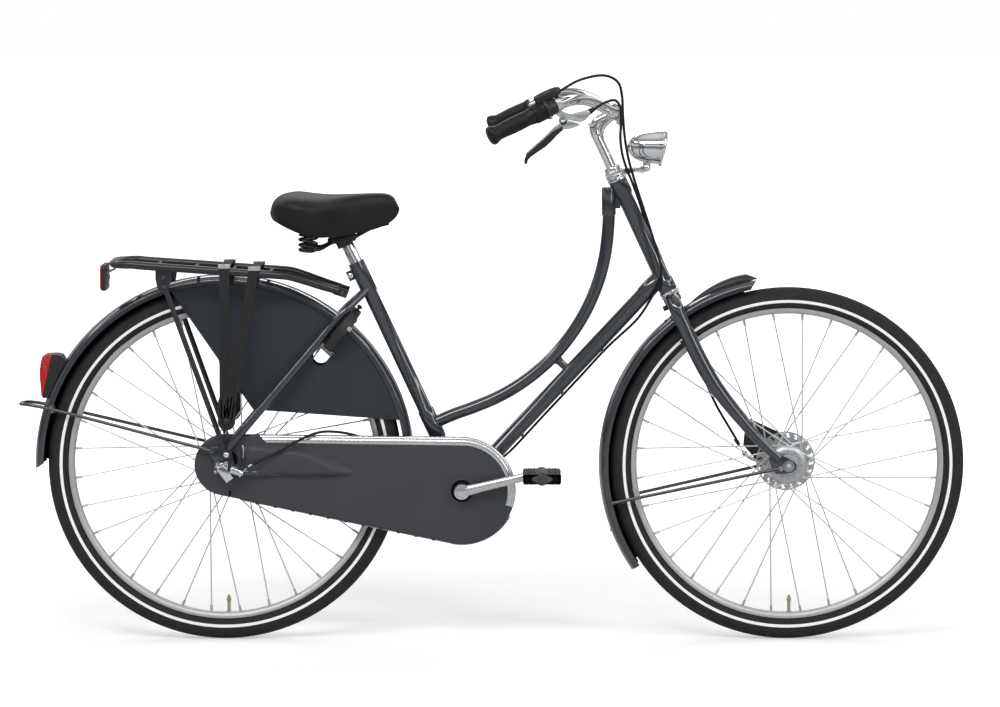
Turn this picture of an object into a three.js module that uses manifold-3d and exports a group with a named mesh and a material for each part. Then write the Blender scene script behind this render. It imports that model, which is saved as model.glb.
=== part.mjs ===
// A Dutch city bike with a low curved top tube, full chain case, coat guards and a carrier.
// Millimetres: X points forward, Y to the bike's left and Z up from the ground.
// Everything is laid out from the rear axle at X 0, and the whole bike is centred at the end.
import * as THREE from "three";
import { ConvexGeometry } from "three/addons/geometries/ConvexGeometry.js";
import { mergeVertices } from "three/addons/utils/BufferGeometryUtils.js";
import Module from "manifold-3d";

const wasm = await Module();
wasm.setup();

// Clearances and cuts
const clearance = 0.3;
const overrun = 3;
const weld = 0.001;

// Wheels
const wheelbase = 1138;
const tyreRadius = 358;
const tyreWidth = 47;
const tyreRise = 41.7;
const rimFlange = 6.8;
const rimDepth = 5;
const rimEdgeRadius = tyreRadius - tyreRise;
const rimWellRadius = rimEdgeRadius - rimFlange;
const rimInnerRadius = rimWellRadius - rimDepth;
const rimHalfWidth = 12.5;
const rimWall = 1.8;
const rimBase = 3.4;
const spokeRadius = 1.15;
const spokeHoleRadius = 34.4;
const flangeRadius = 38.5;
const flangeOffset = 30;
const flangeThickness = 3;
const spokeHeadOffset = 32.2;
const nippleOffset = 3;
const spokeCount = 32;
const crossings = 3;
const wheelSegments = 28;
const guardSegments = 32;

// Frame tubes
const bracketX = 480;
const bracketZ = 308;
const seatTopX = 266;
const seatTopZ = 766;
const headLowSetback = 239;
const headLowX = wheelbase - headLowSetback;
const headLowZ = 704;
const headHighSetback = 344;
const headHighX = wheelbase - headHighSetback;
const headHighZ = 930;
const downTubeTopZ = 739;
const seatTubeRadius = 14.3;
const seatLugRadius = 16.6;
const seatLugLength = 66;
const seatBoreLength = 290;
const curveJointZ = 438;
const curveJointLength = 62;
const downTubeRadius = 15.9;
const downLugRadius = 17.3;
const downLugLength = 52;
const curvedTubeRadius = 12.7;
const curvedLugRadius = 14.4;
const curvedTopSetback = 18;
const curvedTopX = headHighX - curvedTopSetback;
const curvedTopZ = 922;
const curvedLugLength = 54;
const bridgeRadius = 8;
const headTubeRadius = 15.9;
const headLugRadius = 18.6;
const headLugLength = 30;
const shellRadius = 20.5;
const shellHalfWidth = 34;
const earThickness = 7;
const earReach = 28;
const earHeight = 24;
const earSlot = 3;
const binderBoltRadius = 3.5;
const binderBoltHalf = 15;
const binderDrop = 20;

// Rear triangle
const dropoutInner = 60;
const dropoutThickness = 4.5;
const dropoutSize = 40;
const stayRadius = 8;
const chainStayRadius = 7;
const chainStayOffset = 32;
const stayBridgeX = 392;
const stayBridgeZ = 352;
const stayBridgeRadius = 6;
const seatBridgeRadius = 5.5;
const seatStayOffset = 38;
const eyeletX = -21;
const eyeletZ = 390;
const boltX = 7;
const boltZ = 383;

// Mudguards and coat guards
const guardHalfWidth = 29;
const guardWall = 1.2;
const skirtDepth = 22;
const rearGuardGap = 25;
const frontGuardGap = 18;
const rearGuardRadius = tyreRadius + rearGuardGap;
const frontGuardRadius = tyreRadius + frontGuardGap;
const rearGuardAngles = [3, 181.5];
const frontGuardAngles = [97, 214.5];
const guardStayRadius = 2.8;
const tailLoopX = 411;
const tailLoopZ = 480;
const tailStayX = -348;
const tailStayZ = 471;
const coatGuardOffset = 25.2;
const coatGuardWall = 1;
const coatGuardDrop = 15;
const coatGuardRadius = rearGuardRadius - coatGuardDrop;
const coatGuardAngles = [14.2, 107];
const coatNotchX = 59;
const coatNotchZ = 470;
const coatRearX = -103;
const coatRearZ = 706;

// Carrier and what it holds
const carrierHalf = 80;
const carrierTubeRadius = 8;
const carrierRearX = -230;
const carrierZ = 766;
const carrierCorner = 44;
const carrierBendX = 132;
const carrierBendZ = 744;
const carrierFrontX = 226;
const carrierFrontZ = 714;
const carrierFrontHalf = 50;
const crossBarRadius = 4;
const crossBarCount = 4;
const crossBarPitch = 75;
const crossBarFirstX = -131;
const strutRadius = 5.5;
const strutTopX = -116;
const strutTopZ = 728;
const strutLowOffset = 72;
const strapWidth = 25;
const strapThickness = 3;
const strapTopX = [6, 66];
const strapAnchorX = 9;
const strapAnchorZ = 452;
const buttonRadius = 8;
const buttonDepth = 4;
const tailLightHalf = 27;
const tailLightReach = 371;
const tailLightLowZ = 492;
const tailLightHighZ = 581;
const reflectorX = -251;
const reflectorZ = 737;
const reflectorHalf = 47;
const reflectorHeight = 52;
const reflectorDepth = 12;

// Ring lock
const lockAngle = 51.6;
const lockInset = 8;
const lockRadius = tyreRadius - lockInset;
const lockChannelRadius = 54;
const lockInnerRadius = 45.5;
const lockOuterRadius = 63;
const lockThickness = 20;
const lockForward = 7.1;
const lockGap = 125;
const lockBoltRadius = 4.2;
const lockTravel = 118;
const lockKnobLength = 9;
const lockKnobSpan = 4;

// Drive
const spindleRadius = 8.5;
const chainline = 42;
const chainPitch = 12.7;
const sprocketTeeth = 19;
const chainwheelTeeth = 38;
const sprocketThickness = 3;
const chainWidth = 7;
const chainHeight = 8;
const toothReach = 1.6;
const caseInner = 36;
const caseOuter = 54;
const caseWall = 1.5;
const caseRearRadius = 62;
const caseFrontRadius = 108;
const caseRearX = 3;
const caseRearZ = 360;
const caseSplit = 41.9;
const crankHoleRadius = 22;
const humpRearX = 66;
const humpFrontX = 262;
const humpZ = 363;
const humpRadius = 34;
const humpDepth = 12;
const crankLength = 165;
const crankAngle = 13.4;
const crankBossRadius = 16;
const crankInner = 64;
const crankThickness = 14;
const pedalWidth = 95;
const pedalLength = 77;
const pedalHeight = 24;
const pedalWindow = 14;
const pedalAxleRadius = 5;
const pedalGap = 3;
const axleRadius = 5;
const nutRadius = 9.5;
const nutThickness = 7;
const hubNeckRadius = 20;
const rearBarrelRadius = 24;
const coasterRadius = 22;
const coasterInner = 52.3;
const coasterArmThickness = 2.5;
const coasterArmLength = 108;
const changerReach = 47;
const changerDepth = 15.7;
const spindleHalf = 70;
const crankEyeRadius = 13;

// Seat
const postRadius = 12.7;
const postInsert = 200;
const postTopX = 242;
const saddleLength = 259;
const saddleWidth = 212;
const saddleRearX = 95;
const saddleBaseZ = 822;
const saddleHeight = 84;
const railRadius = 3.5;
const railSpread = 26;
const springRadius = 15;
const springWire = 2.4;
const springTurns = 3;
const springX = 170;
const springY = 62;
const springBottomZ = 792;
const springTopZ = 824;
const clampLength = 34;
const clampHeight = 24;

// Steering
const steererRadius = 12.7;
const bladeTopRadius = 14;
const bladeRadius = 8;
const bladeTopOffset = 45;
const bladeOffset = 58;
const crownWidth = 112;
const crownHeight = 26;
const crownDepth = 34;
const frontDropoutInner = 50.4;
const frontDropoutThickness = 5;
const cupRadius = 19.5;
const lowerStack = 12;
const upperStack = 32;
const quillRadius = 11;
const quillTop = 122;
const quillInsert = 70;
const clampSetback = 8;
const clampX = headHighX - clampSetback;
const clampZ = 1069;
const clampRadius = 17;
const clampHalf = 20;
const barRadius = 11.1;
const gripRadius = 16;
const gripLength = 92;
const gripInnerSetback = 142;
const gripInnerX = clampX - gripInnerSetback;
const gripInnerZ = 1082;
const gripInnerY = 266;
const gripRun = 103;
const gripEndX = gripInnerX - gripRun;
const gripEndZ = 1033;
const gripEndY = 296;
const ringRadius = 19;
const ringLength = 24;
const housingLength = 24;
const leverClampLength = 12;
const leverPivotLead = 36;
const leverPivotX = gripInnerX + leverPivotLead;
const leverPivotY = 252;
const leverPivotZ = 1060;
const leverReach = 74;
const leverTipX = leverPivotX - leverReach;
const leverTipZ = 975;
const leverThickness = 10;
const leverEyeRadius = 9;
const crestHeight = 9;
const crestWidth = 6;
const crestAngles = [104, 119];
const frontStayAngle = 192.4;
const frontStayDrop = 9;
const lampRadius = 34;
const lampLength = 76;
const lampRearLead = 19;
const lampRearX = headHighX + lampRearLead;
const lampZ = 998;
const lampPivotLead = 58;
const lampPivotX = headHighX + lampPivotLead;
const lampPivotZ = 957;
const lampLugHalf = 6;
const lampLugRadius = 8;
const lampPinRadius = 3;
const bracketThickness = 3;
const discRadius = 60;
const discOffset = 37;
const discThickness = 2.5;
const drumRadius = 44;
const drumInner = 40.2;
const drumOuter = 47;
const frontBarrelRadius = 18;
const frontCapRadius = 14;
const frontNeckRadius = 26;
const frontHubEnd = 48;
const brakeArmReach = 88;
const brakeArmX = wheelbase - brakeArmReach;
const brakeArmZ = 427;
const brakeLeverX = brakeArmX;
const brakeLeverZ = 378;
const brakeLeverY = 53;

// Cables, and where they leave the changer's housing and the lever's barrel
const cableRadius = 2.5;
const shifterOutlet = [672, -240, 1117];
const brakeOutlet = [727, -228, 1085];

// Angles in degrees turned into radians
const radians = (degrees) => THREE.MathUtils.degToRad(degrees);

// The point a share of the way from one point to another
function between(a, b, share) {
  return a.map((value, i) => value + (b[i] - value) * share);
}

// The distance between two points
function distance(a, b) {
  return Math.hypot(...a.map((value, i) => b[i] - value));
}

// The point at a length from the first point towards the second
function towards(a, b, length) {
  return between(a, b, length / distance(a, b));
}

// A point on a circle in the X Z plane
function onCircle(x, z, radius, degrees) {
  return [x + radius * Math.cos(radians(degrees)), z + radius * Math.sin(radians(degrees))];
}

// Points along an arc in the X Z plane
function arcPoints(x, z, radius, from, to, steps) {
  const points = [];
  for (let i = 0; i <= steps; i++) {
    points.push(onCircle(x, z, radius, from + ((to - from) * i) / steps));
  }
  return points;
}

// The radius of a polygonal hole that clears a round pin
function boreFor(radius, sides) {
  return (radius + clearance) / Math.cos(Math.PI / sides);
}

// A closed geometry as a solid that can be joined and cut
function solidOf(geometry) {
  const bare = geometry.index ? geometry.toNonIndexed() : geometry.clone();
  bare.deleteAttribute("normal");
  bare.deleteAttribute("uv");
  const merged = mergeVertices(bare, weld);
  const triVerts = new Uint32Array(merged.index.array);
  const vertProperties = merged.attributes.position.array;
  const solid = new wasm.Manifold(new wasm.Mesh({ numProp: 3, vertProperties, triVerts }));
  if (solid.volume() > 0) return solid;
  for (let i = 0; i < triVerts.length; i += 3) {
    [triVerts[i + 1], triVerts[i + 2]] = [triVerts[i + 2], triVerts[i + 1]];
  }
  return new wasm.Manifold(new wasm.Mesh({ numProp: 3, vertProperties, triVerts }));
}

// A solid as a geometry again
function geometryOf(solid) {
  const mesh = solid.getMesh();
  const geometry = new THREE.BufferGeometry();
  geometry.setAttribute("position", new THREE.BufferAttribute(mesh.vertProperties, 3));
  geometry.setIndex(new THREE.BufferAttribute(mesh.triVerts, 1));
  return geometry;
}

// Several geometries joined into one
function join(...geometries) {
  const solids = geometries.map(solidOf);
  return geometryOf(solids.reduce((whole, next) => whole.add(next)));
}

// A geometry with others cut away
function cut(body, ...tools) {
  const solids = tools.map(solidOf);
  return geometryOf(solids.reduce((whole, next) => whole.subtract(next), solidOf(body)));
}

// What two geometries share
function common(a, b) {
  return geometryOf(solidOf(a).intersect(solidOf(b)));
}

// A plate with its outline in X and Z, from yLow to yHigh
function plate(outline, yLow, yHigh) {
  const shape = new THREE.Shape(outline.map(([x, z]) => new THREE.Vector2(x, z)));
  const geometry = new THREE.ExtrudeGeometry(shape, { depth: yHigh - yLow, bevelEnabled: false });
  geometry.rotateX(Math.PI / 2);
  return geometry.translate(0, yHigh, 0);
}

// A cylinder across the bike
function disc(x, z, radius, yLow, yHigh, sides = 16) {
  const geometry = new THREE.CylinderGeometry(radius, radius, yHigh - yLow, sides);
  return geometry.translate(x, (yLow + yHigh) / 2, z);
}

// An upright cylinder
function upright(x, y, radius, zLow, zHigh, sides = 12) {
  const geometry = new THREE.CylinderGeometry(radius, radius, zHigh - zLow, sides);
  geometry.rotateX(Math.PI / 2);
  return geometry.translate(x, y, (zLow + zHigh) / 2);
}

// A straight round bar between two points
function rod(from, to, radius, sides = 8, endRadius = radius) {
  const start = new THREE.Vector3(...from);
  const end = new THREE.Vector3(...to);
  const along = end.clone().sub(start);
  const geometry = new THREE.CylinderGeometry(endRadius, radius, along.length(), sides);
  const turn = new THREE.Quaternion();
  turn.setFromUnitVectors(new THREE.Vector3(0, 1, 0), along.clone().normalize());
  geometry.applyQuaternion(turn);
  const middle = start.add(end).multiplyScalar(0.5);
  return geometry.translate(middle.x, middle.y, middle.z);
}

// A round bar bent along points
function tube(points, radius, steps, sides = 8) {
  const path = new THREE.CatmullRomCurve3(
    points.map((point) => new THREE.Vector3(...point)),
    false,
    "centripetal",
  );
  const section = [];
  for (let i = 0; i < sides; i++) {
    const angle = (2 * Math.PI * i) / sides;
    section.push(new THREE.Vector2(radius * Math.cos(angle), radius * Math.sin(angle)));
  }
  return new THREE.ExtrudeGeometry(new THREE.Shape(section), { steps, extrudePath: path });
}

// A bar through points as they are, with its own radius at each one
function loft(points, radii, sides = 8) {
  const spots = points.map((point) => new THREE.Vector3(...point));
  const last = spots.length - 1;
  const positions = [];
  const normal = new THREE.Vector3(0, 0, 1);
  spots.forEach((spot, i) => {
    const along = spots[Math.min(i + 1, last)].clone().sub(spots[Math.max(i - 1, 0)]).normalize();
    normal.addScaledVector(along, -normal.dot(along)).normalize();
    const across = along.clone().cross(normal);
    for (let j = 0; j < sides; j++) {
      const angle = (2 * Math.PI * j) / sides;
      const corner = spot.clone();
      corner.addScaledVector(normal, radii[i] * Math.cos(angle));
      corner.addScaledVector(across, radii[i] * Math.sin(angle));
      positions.push(...corner.toArray());
    }
  });
  return ringSkin(positions, spots.length, sides);
}

// Rings of corners skinned into one closed surface
function ringSkin(positions, rows, around) {
  const index = [];
  for (let row = 0; row < rows - 1; row++) {
    for (let i = 0; i < around; i++) {
      const next = (i + 1) % around;
      const a = row * around;
      const b = a + around;
      index.push(a + i, b + i, a + next, a + next, b + i, b + next);
    }
  }
  const last = (rows - 1) * around;
  for (let i = 1; i < around - 1; i++) {
    index.push(0, i, i + 1, last, last + i + 1, last + i);
  }
  const geometry = new THREE.BufferGeometry();
  geometry.setAttribute("position", new THREE.BufferAttribute(new Float32Array(positions), 3));
  geometry.setIndex(index);
  return geometry;
}

// The same bar with one radius
function bentBar(points, radius, sides = 8) {
  return loft(points, points.map(() => radius), sides);
}

// A ball at a bend or an end
function ball(point, radius, sides = 8) {
  const geometry = new THREE.SphereGeometry(radius, sides, sides / 2);
  return geometry.translate(...point);
}

// A box by its centre and size, turned about Y
function block(centre, size, degrees = 0) {
  const geometry = new THREE.BoxGeometry(...size);
  geometry.rotateY(radians(-degrees));
  return geometry.translate(...centre);
}

// A profile of radius and Y turned about the wheel axis
function turned(profile, segments = wheelSegments) {
  const points = profile.map(([radius, y]) => new THREE.Vector2(radius, y));
  points.push(points[0].clone());
  return new THREE.LatheGeometry(points, segments);
}

// The same piece on the other side of the bike
function mirrored(geometry) {
  const copy = geometry.index ? geometry.toNonIndexed() : geometry.clone();
  copy.deleteAttribute("normal");
  copy.deleteAttribute("uv");
  return copy.scale(1, -1, 1);
}

// Materials
function finish(color, roughness, metalness) {
  return new THREE.MeshStandardMaterial({ color, roughness, metalness });
}
const paint = finish(0x33383f, 0.25, 0.2);
const satinBlack = finish(0x424548, 0.55, 0);
const mattCloth = finish(0x31363b, 0.85, 0);
const blackRubber = finish(0x1c1c1d, 0.8, 0);
const blackPlastic = finish(0x232425, 0.5, 0);
const leather = finish(0x191919, 0.6, 0);
const chrome = finish(0xe8eaec, 0.08, 1);
const alloy = finish(0xc3c5c7, 0.35, 1);
const steel = finish(0xa9acaf, 0.3, 1);
const redPlastic = finish(0xb5121b, 0.2, 0);
const strapRubber = finish(0x2b2624, 0.8, 0);

// Named points of the frame
const bracket = [bracketX, 0, bracketZ];
const seatTop = [seatTopX, 0, seatTopZ];
const headLow = [headLowX, 0, headLowZ];
const headHigh = [headHighX, 0, headHighZ];
const axleZ = tyreRadius;
const curveJoint = between(bracket, seatTop, (curveJointZ - bracketZ) / (seatTopZ - bracketZ));
const downTop = between(headLow, headHigh, (downTubeTopZ - headLowZ) / (headHighZ - headLowZ));

// Tubes that others are cut to fit, with the clearance that they need
function seatTubeSpace(grow = 0) {
  return join(
    rod(bracket, seatTop, seatTubeRadius + grow, 10),
    rod(towards(seatTop, bracket, seatLugLength), seatTop, seatLugRadius + grow, 10),
    rod(
      towards(curveJoint, bracket, curveJointLength / 2),
      towards(curveJoint, seatTop, curveJointLength / 2),
      seatLugRadius + grow,
      10,
    ),
    disc(bracketX, bracketZ, shellRadius + grow, -shellHalfWidth - grow, shellHalfWidth + grow, 12),
  );
}

function headTubeSpace(grow = 0) {
  return join(
    rod(headLow, headHigh, headTubeRadius + grow, 10),
    rod(headLow, towards(headLow, headHigh, headLugLength), headLugRadius + grow, 10),
    rod(towards(headHigh, headLow, headLugLength), headHigh, headLugRadius + grow, 10),
  );
}

function downTubeSpace(grow = 0) {
  return join(
    rod(downTop, bracket, downTubeRadius + grow, 10),
    rod(downTop, towards(downTop, bracket, downLugLength), downLugRadius + grow, 10),
  );
}

// The seat tube holds the bottom bracket shell, the lugs and the binder ears of the seat post
function makeSeatTube() {
  const seatBottom = towards(seatTop, bracket, seatBoreLength);
  const above = towards(seatTop, bracket, -overrun);
  const binder = towards(seatTop, bracket, binderDrop);
  const slope = THREE.MathUtils.radToDeg(Math.atan2(bracketX - seatTopX, seatTopZ - bracketZ));
  const earX = binder[0] - (earReach / 2) * Math.cos(radians(slope));
  const earZ = binder[2] - (earReach / 2) * Math.sin(radians(slope));
  const boltPointX = binder[0] - (earReach - earThickness) * Math.cos(radians(slope));
  const boltPointZ = binder[2] - (earReach - earThickness) * Math.sin(radians(slope));
  const ears = block([earX, 0, earZ], [earReach, 2 * earThickness + earSlot, earHeight], slope);
  const slot = block([earX, 0, earZ], [earReach + overrun, earSlot, 2 * earHeight], slope);
  const bolt = disc(boltPointX, boltPointZ, binderBoltRadius, -binderBoltHalf, binderBoltHalf, 8);
  const shellBore = boreFor(spindleRadius, 12);
  const hollow = cut(
    join(seatTubeSpace(), ears),
    rod(seatBottom, above, boreFor(postRadius, 10), 10),
    disc(bracketX, bracketZ, shellBore, -shellHalfWidth - overrun, shellHalfWidth + overrun, 12),
    slot,
  );
  return join(hollow, bolt);
}

// The head tube is bored for the steerer
function makeHeadTube() {
  const below = towards(headLow, headHigh, -overrun);
  const above = towards(headHigh, headLow, -overrun);
  return cut(headTubeSpace(), rod(below, above, boreFor(steererRadius, 10), 10));
}

function makeDownTube() {
  return cut(downTubeSpace(), headTubeSpace(clearance), seatTubeSpace(clearance));
}

// Centreline of the curved top tube as shares of the run from its seat joint to its upper end
const curvedTubeShares = [
  [0, 0],
  [0.119, 0.039],
  [0.23, 0.069],
  [0.362, 0.11],
  [0.482, 0.16],
  [0.593, 0.221],
  [0.69, 0.288],
  [0.776, 0.365],
  [0.849, 0.448],
  [0.908, 0.536],
  [0.953, 0.629],
  [0.98, 0.715],
  [0.994, 0.8],
  [1, 0.874],
  [1, 1],
];

function curvedTubePoints() {
  const [startX, , startZ] = curveJoint;
  return curvedTubeShares.map(([x, z]) => [
    startX + (curvedTopX - startX) * x,
    0,
    startZ + (curvedTopZ - startZ) * z,
  ]);
}

// The curved top tube ends in an upright sleeve beside the head tube, and a bridge ties it to the down tube
function makeCurvedTopTube() {
  const points = curvedTubePoints();
  const bridgeStart = points[6];
  const downRun = [downTop[0] - bracketX, downTop[2] - bracketZ];
  const runLength = Math.hypot(...downRun);
  const reach = curvedTubeRadius * 4;
  const bridgeEnd = [
    bridgeStart[0] + (reach * downRun[1]) / runLength,
    0,
    bridgeStart[2] - (reach * downRun[0]) / runLength,
  ];
  const sleeveLow = [curvedTopX, 0, curvedTopZ - curvedLugLength];
  const sleeveTop = [curvedTopX, 0, curvedTopZ];
  const webHeight = curvedLugLength - curvedTubeRadius;
  const web = block(
    [curvedTopX + curvedTubeRadius, 0, curvedTopZ - webHeight / 2],
    [2 * curvedTubeRadius, curvedTubeRadius, webHeight],
  );
  return cut(
    join(
      tube(points, curvedTubeRadius, 13, 8),
      rod(sleeveLow, sleeveTop, curvedLugRadius, 10),
      rod(bridgeStart, bridgeEnd, bridgeRadius),
      web,
    ),
    headTubeSpace(clearance),
    seatTubeSpace(clearance),
    downTubeSpace(clearance),
  );
}

// Outline of a dropout about the axle, as shares of its size
const dropoutShares = [
  [-0.72, 0.72],
  [-0.66, 0.98],
  [-0.3, 1.02],
  [-0.12, 0.94],
  [0.02, 1.02],
  [0.36, 1],
  [0.46, 0.62],
  [0.56, 0.14],
  [1, -0.02],
  [1, -0.4],
  [0.4, -0.48],
  [-0.24, -0.46],
  [-0.5, -0.2],
  [-0.5, 0.3],
];

function dropoutOutline() {
  return dropoutShares.map(([x, z]) => [x * dropoutSize, axleZ + z * dropoutSize]);
}

function dropoutSpace(grow = 0) {
  const outer = dropoutInner + dropoutThickness + grow;
  return plate(dropoutOutline(), -outer, -dropoutInner + grow);
}

// Route of the right chain stay, as shares of the bracket's reach and of the two axle heights,
// and of the way from the inner offset to the dropout
const chainStayShares = [
  [0.96, 0.98, -0.24],
  [0.9, 0.9, 0],
  [0.7, 0.72, 0],
  [0.5, 0.52, 0.12],
  [0.3, 0.32, 0.5],
  [0.16, 0.26, 0.9],
  [0.05, 0.24, 1],
];

function chainStayPoints() {
  const dropoutMiddle = dropoutInner + dropoutThickness / 2;
  return chainStayShares.map(([x, z, y]) => [
    x * bracketX,
    -(chainStayOffset + (dropoutMiddle - chainStayOffset) * y),
    axleZ + (bracketZ - axleZ) * z,
  ]);
}

// Both chain stays with their dropouts and the bridge between them
function makeChainStays() {
  const side = join(
    bentBar(chainStayPoints(), chainStayRadius, 6),
    dropoutSpace(),
  );
  const bridgeHalf = chainStayOffset - stayBridgeRadius / 2;
  const bridge = disc(stayBridgeX, stayBridgeZ, stayBridgeRadius, -bridgeHalf, bridgeHalf, 8);
  const bridgeDrop = [stayBridgeX, -bridgeHalf, stayBridgeZ];
  const stayBelow = [stayBridgeX, -bridgeHalf, bracketZ + chainStayRadius];
  const post = rod(stayBelow, bridgeDrop, stayBridgeRadius);
  const whole = join(side, mirrored(side), bridge, post, mirrored(post));
  const axleBore = boreFor(axleRadius, 12);
  const reach = dropoutInner + dropoutThickness + overrun;
  return cut(whole, seatTubeSpace(clearance), disc(0, axleZ, axleBore, -reach, reach, 12));
}

// Route of the right seat stay from the seat lug to the dropout
function seatStayPoints() {
  const dropoutMiddle = dropoutInner + dropoutThickness / 2;
  const lower = [boltX + clearance, -dropoutMiddle, axleZ + 0.86 * dropoutSize];
  const upper = towards(seatTop, bracket, seatLugLength - stayRadius);
  const shoulder = onCircle(0, axleZ, rearGuardRadius + stayRadius + guardWall, lockAngle + 0.4);
  const shoulderPoint = [shoulder[0], -seatStayOffset, shoulder[1]];
  const rise = between([upper[0], 0, upper[2]], [shoulderPoint[0], 0, shoulderPoint[2]], 0.5);
  const outwards = (down, out) => {
    const [x, , z] = between(shoulderPoint, lower, down);
    return [x, shoulderPoint[1] + (lower[1] - shoulderPoint[1]) * out, z];
  };
  return [
    [upper[0], -stayRadius, upper[2]],
    [rise[0], -seatStayOffset * 0.62, rise[2]],
    shoulderPoint,
    outwards(0.12, 0.1),
    outwards(0.5, 0.58),
    outwards(0.84, 1),
    lower,
  ];
}

function seatStaySpace(grow = 0) {
  return bentBar(seatStayPoints(), stayRadius + grow, 6);
}

// Both seat stays with the bridge that the mudguard hangs on
function makeSeatStays() {
  const side = seatStaySpace();
  const bridge = seatStayPoints()[2];
  const bar = disc(bridge[0], bridge[2], seatBridgeRadius, -seatStayOffset, seatStayOffset, 8);
  const dropout = dropoutSpace(clearance);
  const boltHole = binderBoltRadius + clearance;
  const bolt = disc(boltX, boltZ, boltHole, -strutLowOffset, -dropoutInner + overrun, 8);
  return cut(
    join(side, mirrored(side), bar),
    seatTubeSpace(clearance),
    dropout,
    mirrored(dropout),
    bolt,
    mirrored(bolt),
  );
}

// A mudguard: a rounded channel turned about the axle and cut to its span
function mudguard(radius, span) {
  const half = guardHalfWidth;
  const outerShares = [
    [1, 1],
    [0.42, 0.94],
    [0, 0.36],
  ];
  const right = outerShares.map(([drop, side]) => [radius - drop * skirtDepth, -side * half]);
  const left = right.map(([r, y]) => [r, -y]).reverse();
  const inner = [...right, ...left].map(([r, y]) => [
    r - (Math.abs(y) === half ? 0 : guardWall),
    y * (1 - guardWall / half),
  ]);
  const ring = turned([...right, ...left, ...inner.reverse()], guardSegments);
  const reach = radius * 2;
  const sector = [[0, 0]];
  const steps = 3;
  for (let i = 0; i <= steps; i++) {
    sector.push(onCircle(0, 0, reach, span[0] + ((span[1] - span[0]) * i) / steps));
  }
  return common(ring, plate(sector, -radius, radius));
}

function makeRearMudguard() {
  const guard = mudguard(rearGuardRadius, rearGuardAngles).translate(0, 0, axleZ);
  const hole = stayBridgeRadius + clearance;
  return cut(guard, disc(stayBridgeX, stayBridgeZ, hole, -chainStayOffset, chainStayOffset, 8));
}

// How far out the tail loop rods pass the sides of the rear mudguard
const tailStayOffset = guardHalfWidth + guardStayRadius + clearance;

// One bent wire from dropout to dropout, round the back of the mudguard
function makeRearMudguardStay() {
  const out = dropoutInner + dropoutThickness + guardStayRadius + 2 * clearance;
  const right = [
    [eyeletX, -out, eyeletZ],
    [tailStayX, -tailStayOffset, tailStayZ],
    [-0.92 * tailLoopX, -tailStayOffset, tailLoopZ - guardStayRadius],
    [-0.97 * tailLoopX, -tailStayOffset * 0.85, tailLoopZ],
    [-tailLoopX, -tailStayOffset * 0.5, tailLoopZ],
  ];
  const left = right.map(([x, y, z]) => [x, -y, z]).reverse();
  const screw = disc(eyeletX, eyeletZ, guardStayRadius, -out, -out + guardStayRadius, 8);
  const clip = block(
    [tailStayX, -guardHalfWidth - guardStayRadius / 2 - clearance, tailStayZ],
    [5 * guardStayRadius, guardStayRadius, 6 * guardStayRadius],
    15,
  );
  const side = join(screw, clip);
  return join(bentBar([...right, ...left], guardStayRadius, 6), side, mirrored(side));
}

// A coat guard on one side: a sheet under the mudguard's skirt, cut away for the lock
function makeCoatGuard() {
  const arc = arcPoints(0, axleZ, coatGuardRadius, coatGuardAngles[1], coatGuardAngles[0], 16);
  const outline = [
    ...arc,
    [coatNotchX, coatNotchZ],
    [coatRearX, coatRearZ],
  ];
  const window = lockFrame(
    block(
      [lockForward + lockThickness / 2, 0, lockRadius - lockChannelRadius],
      [lockThickness + 4 * overrun, 2 * guardHalfWidth, lockThickness * 1.5],
    ),
  );
  const high = -coatGuardOffset;
  return cut(plate(outline, high - coatGuardWall, high), window);
}

// Height of the carrier's side rail where it runs straight
function railHeight(x) {
  const slope = (carrierZ - carrierBendZ) / (carrierRearX + carrierCorner - carrierBendX);
  return carrierZ + slope * (x - carrierRearX - carrierCorner);
}

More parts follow.
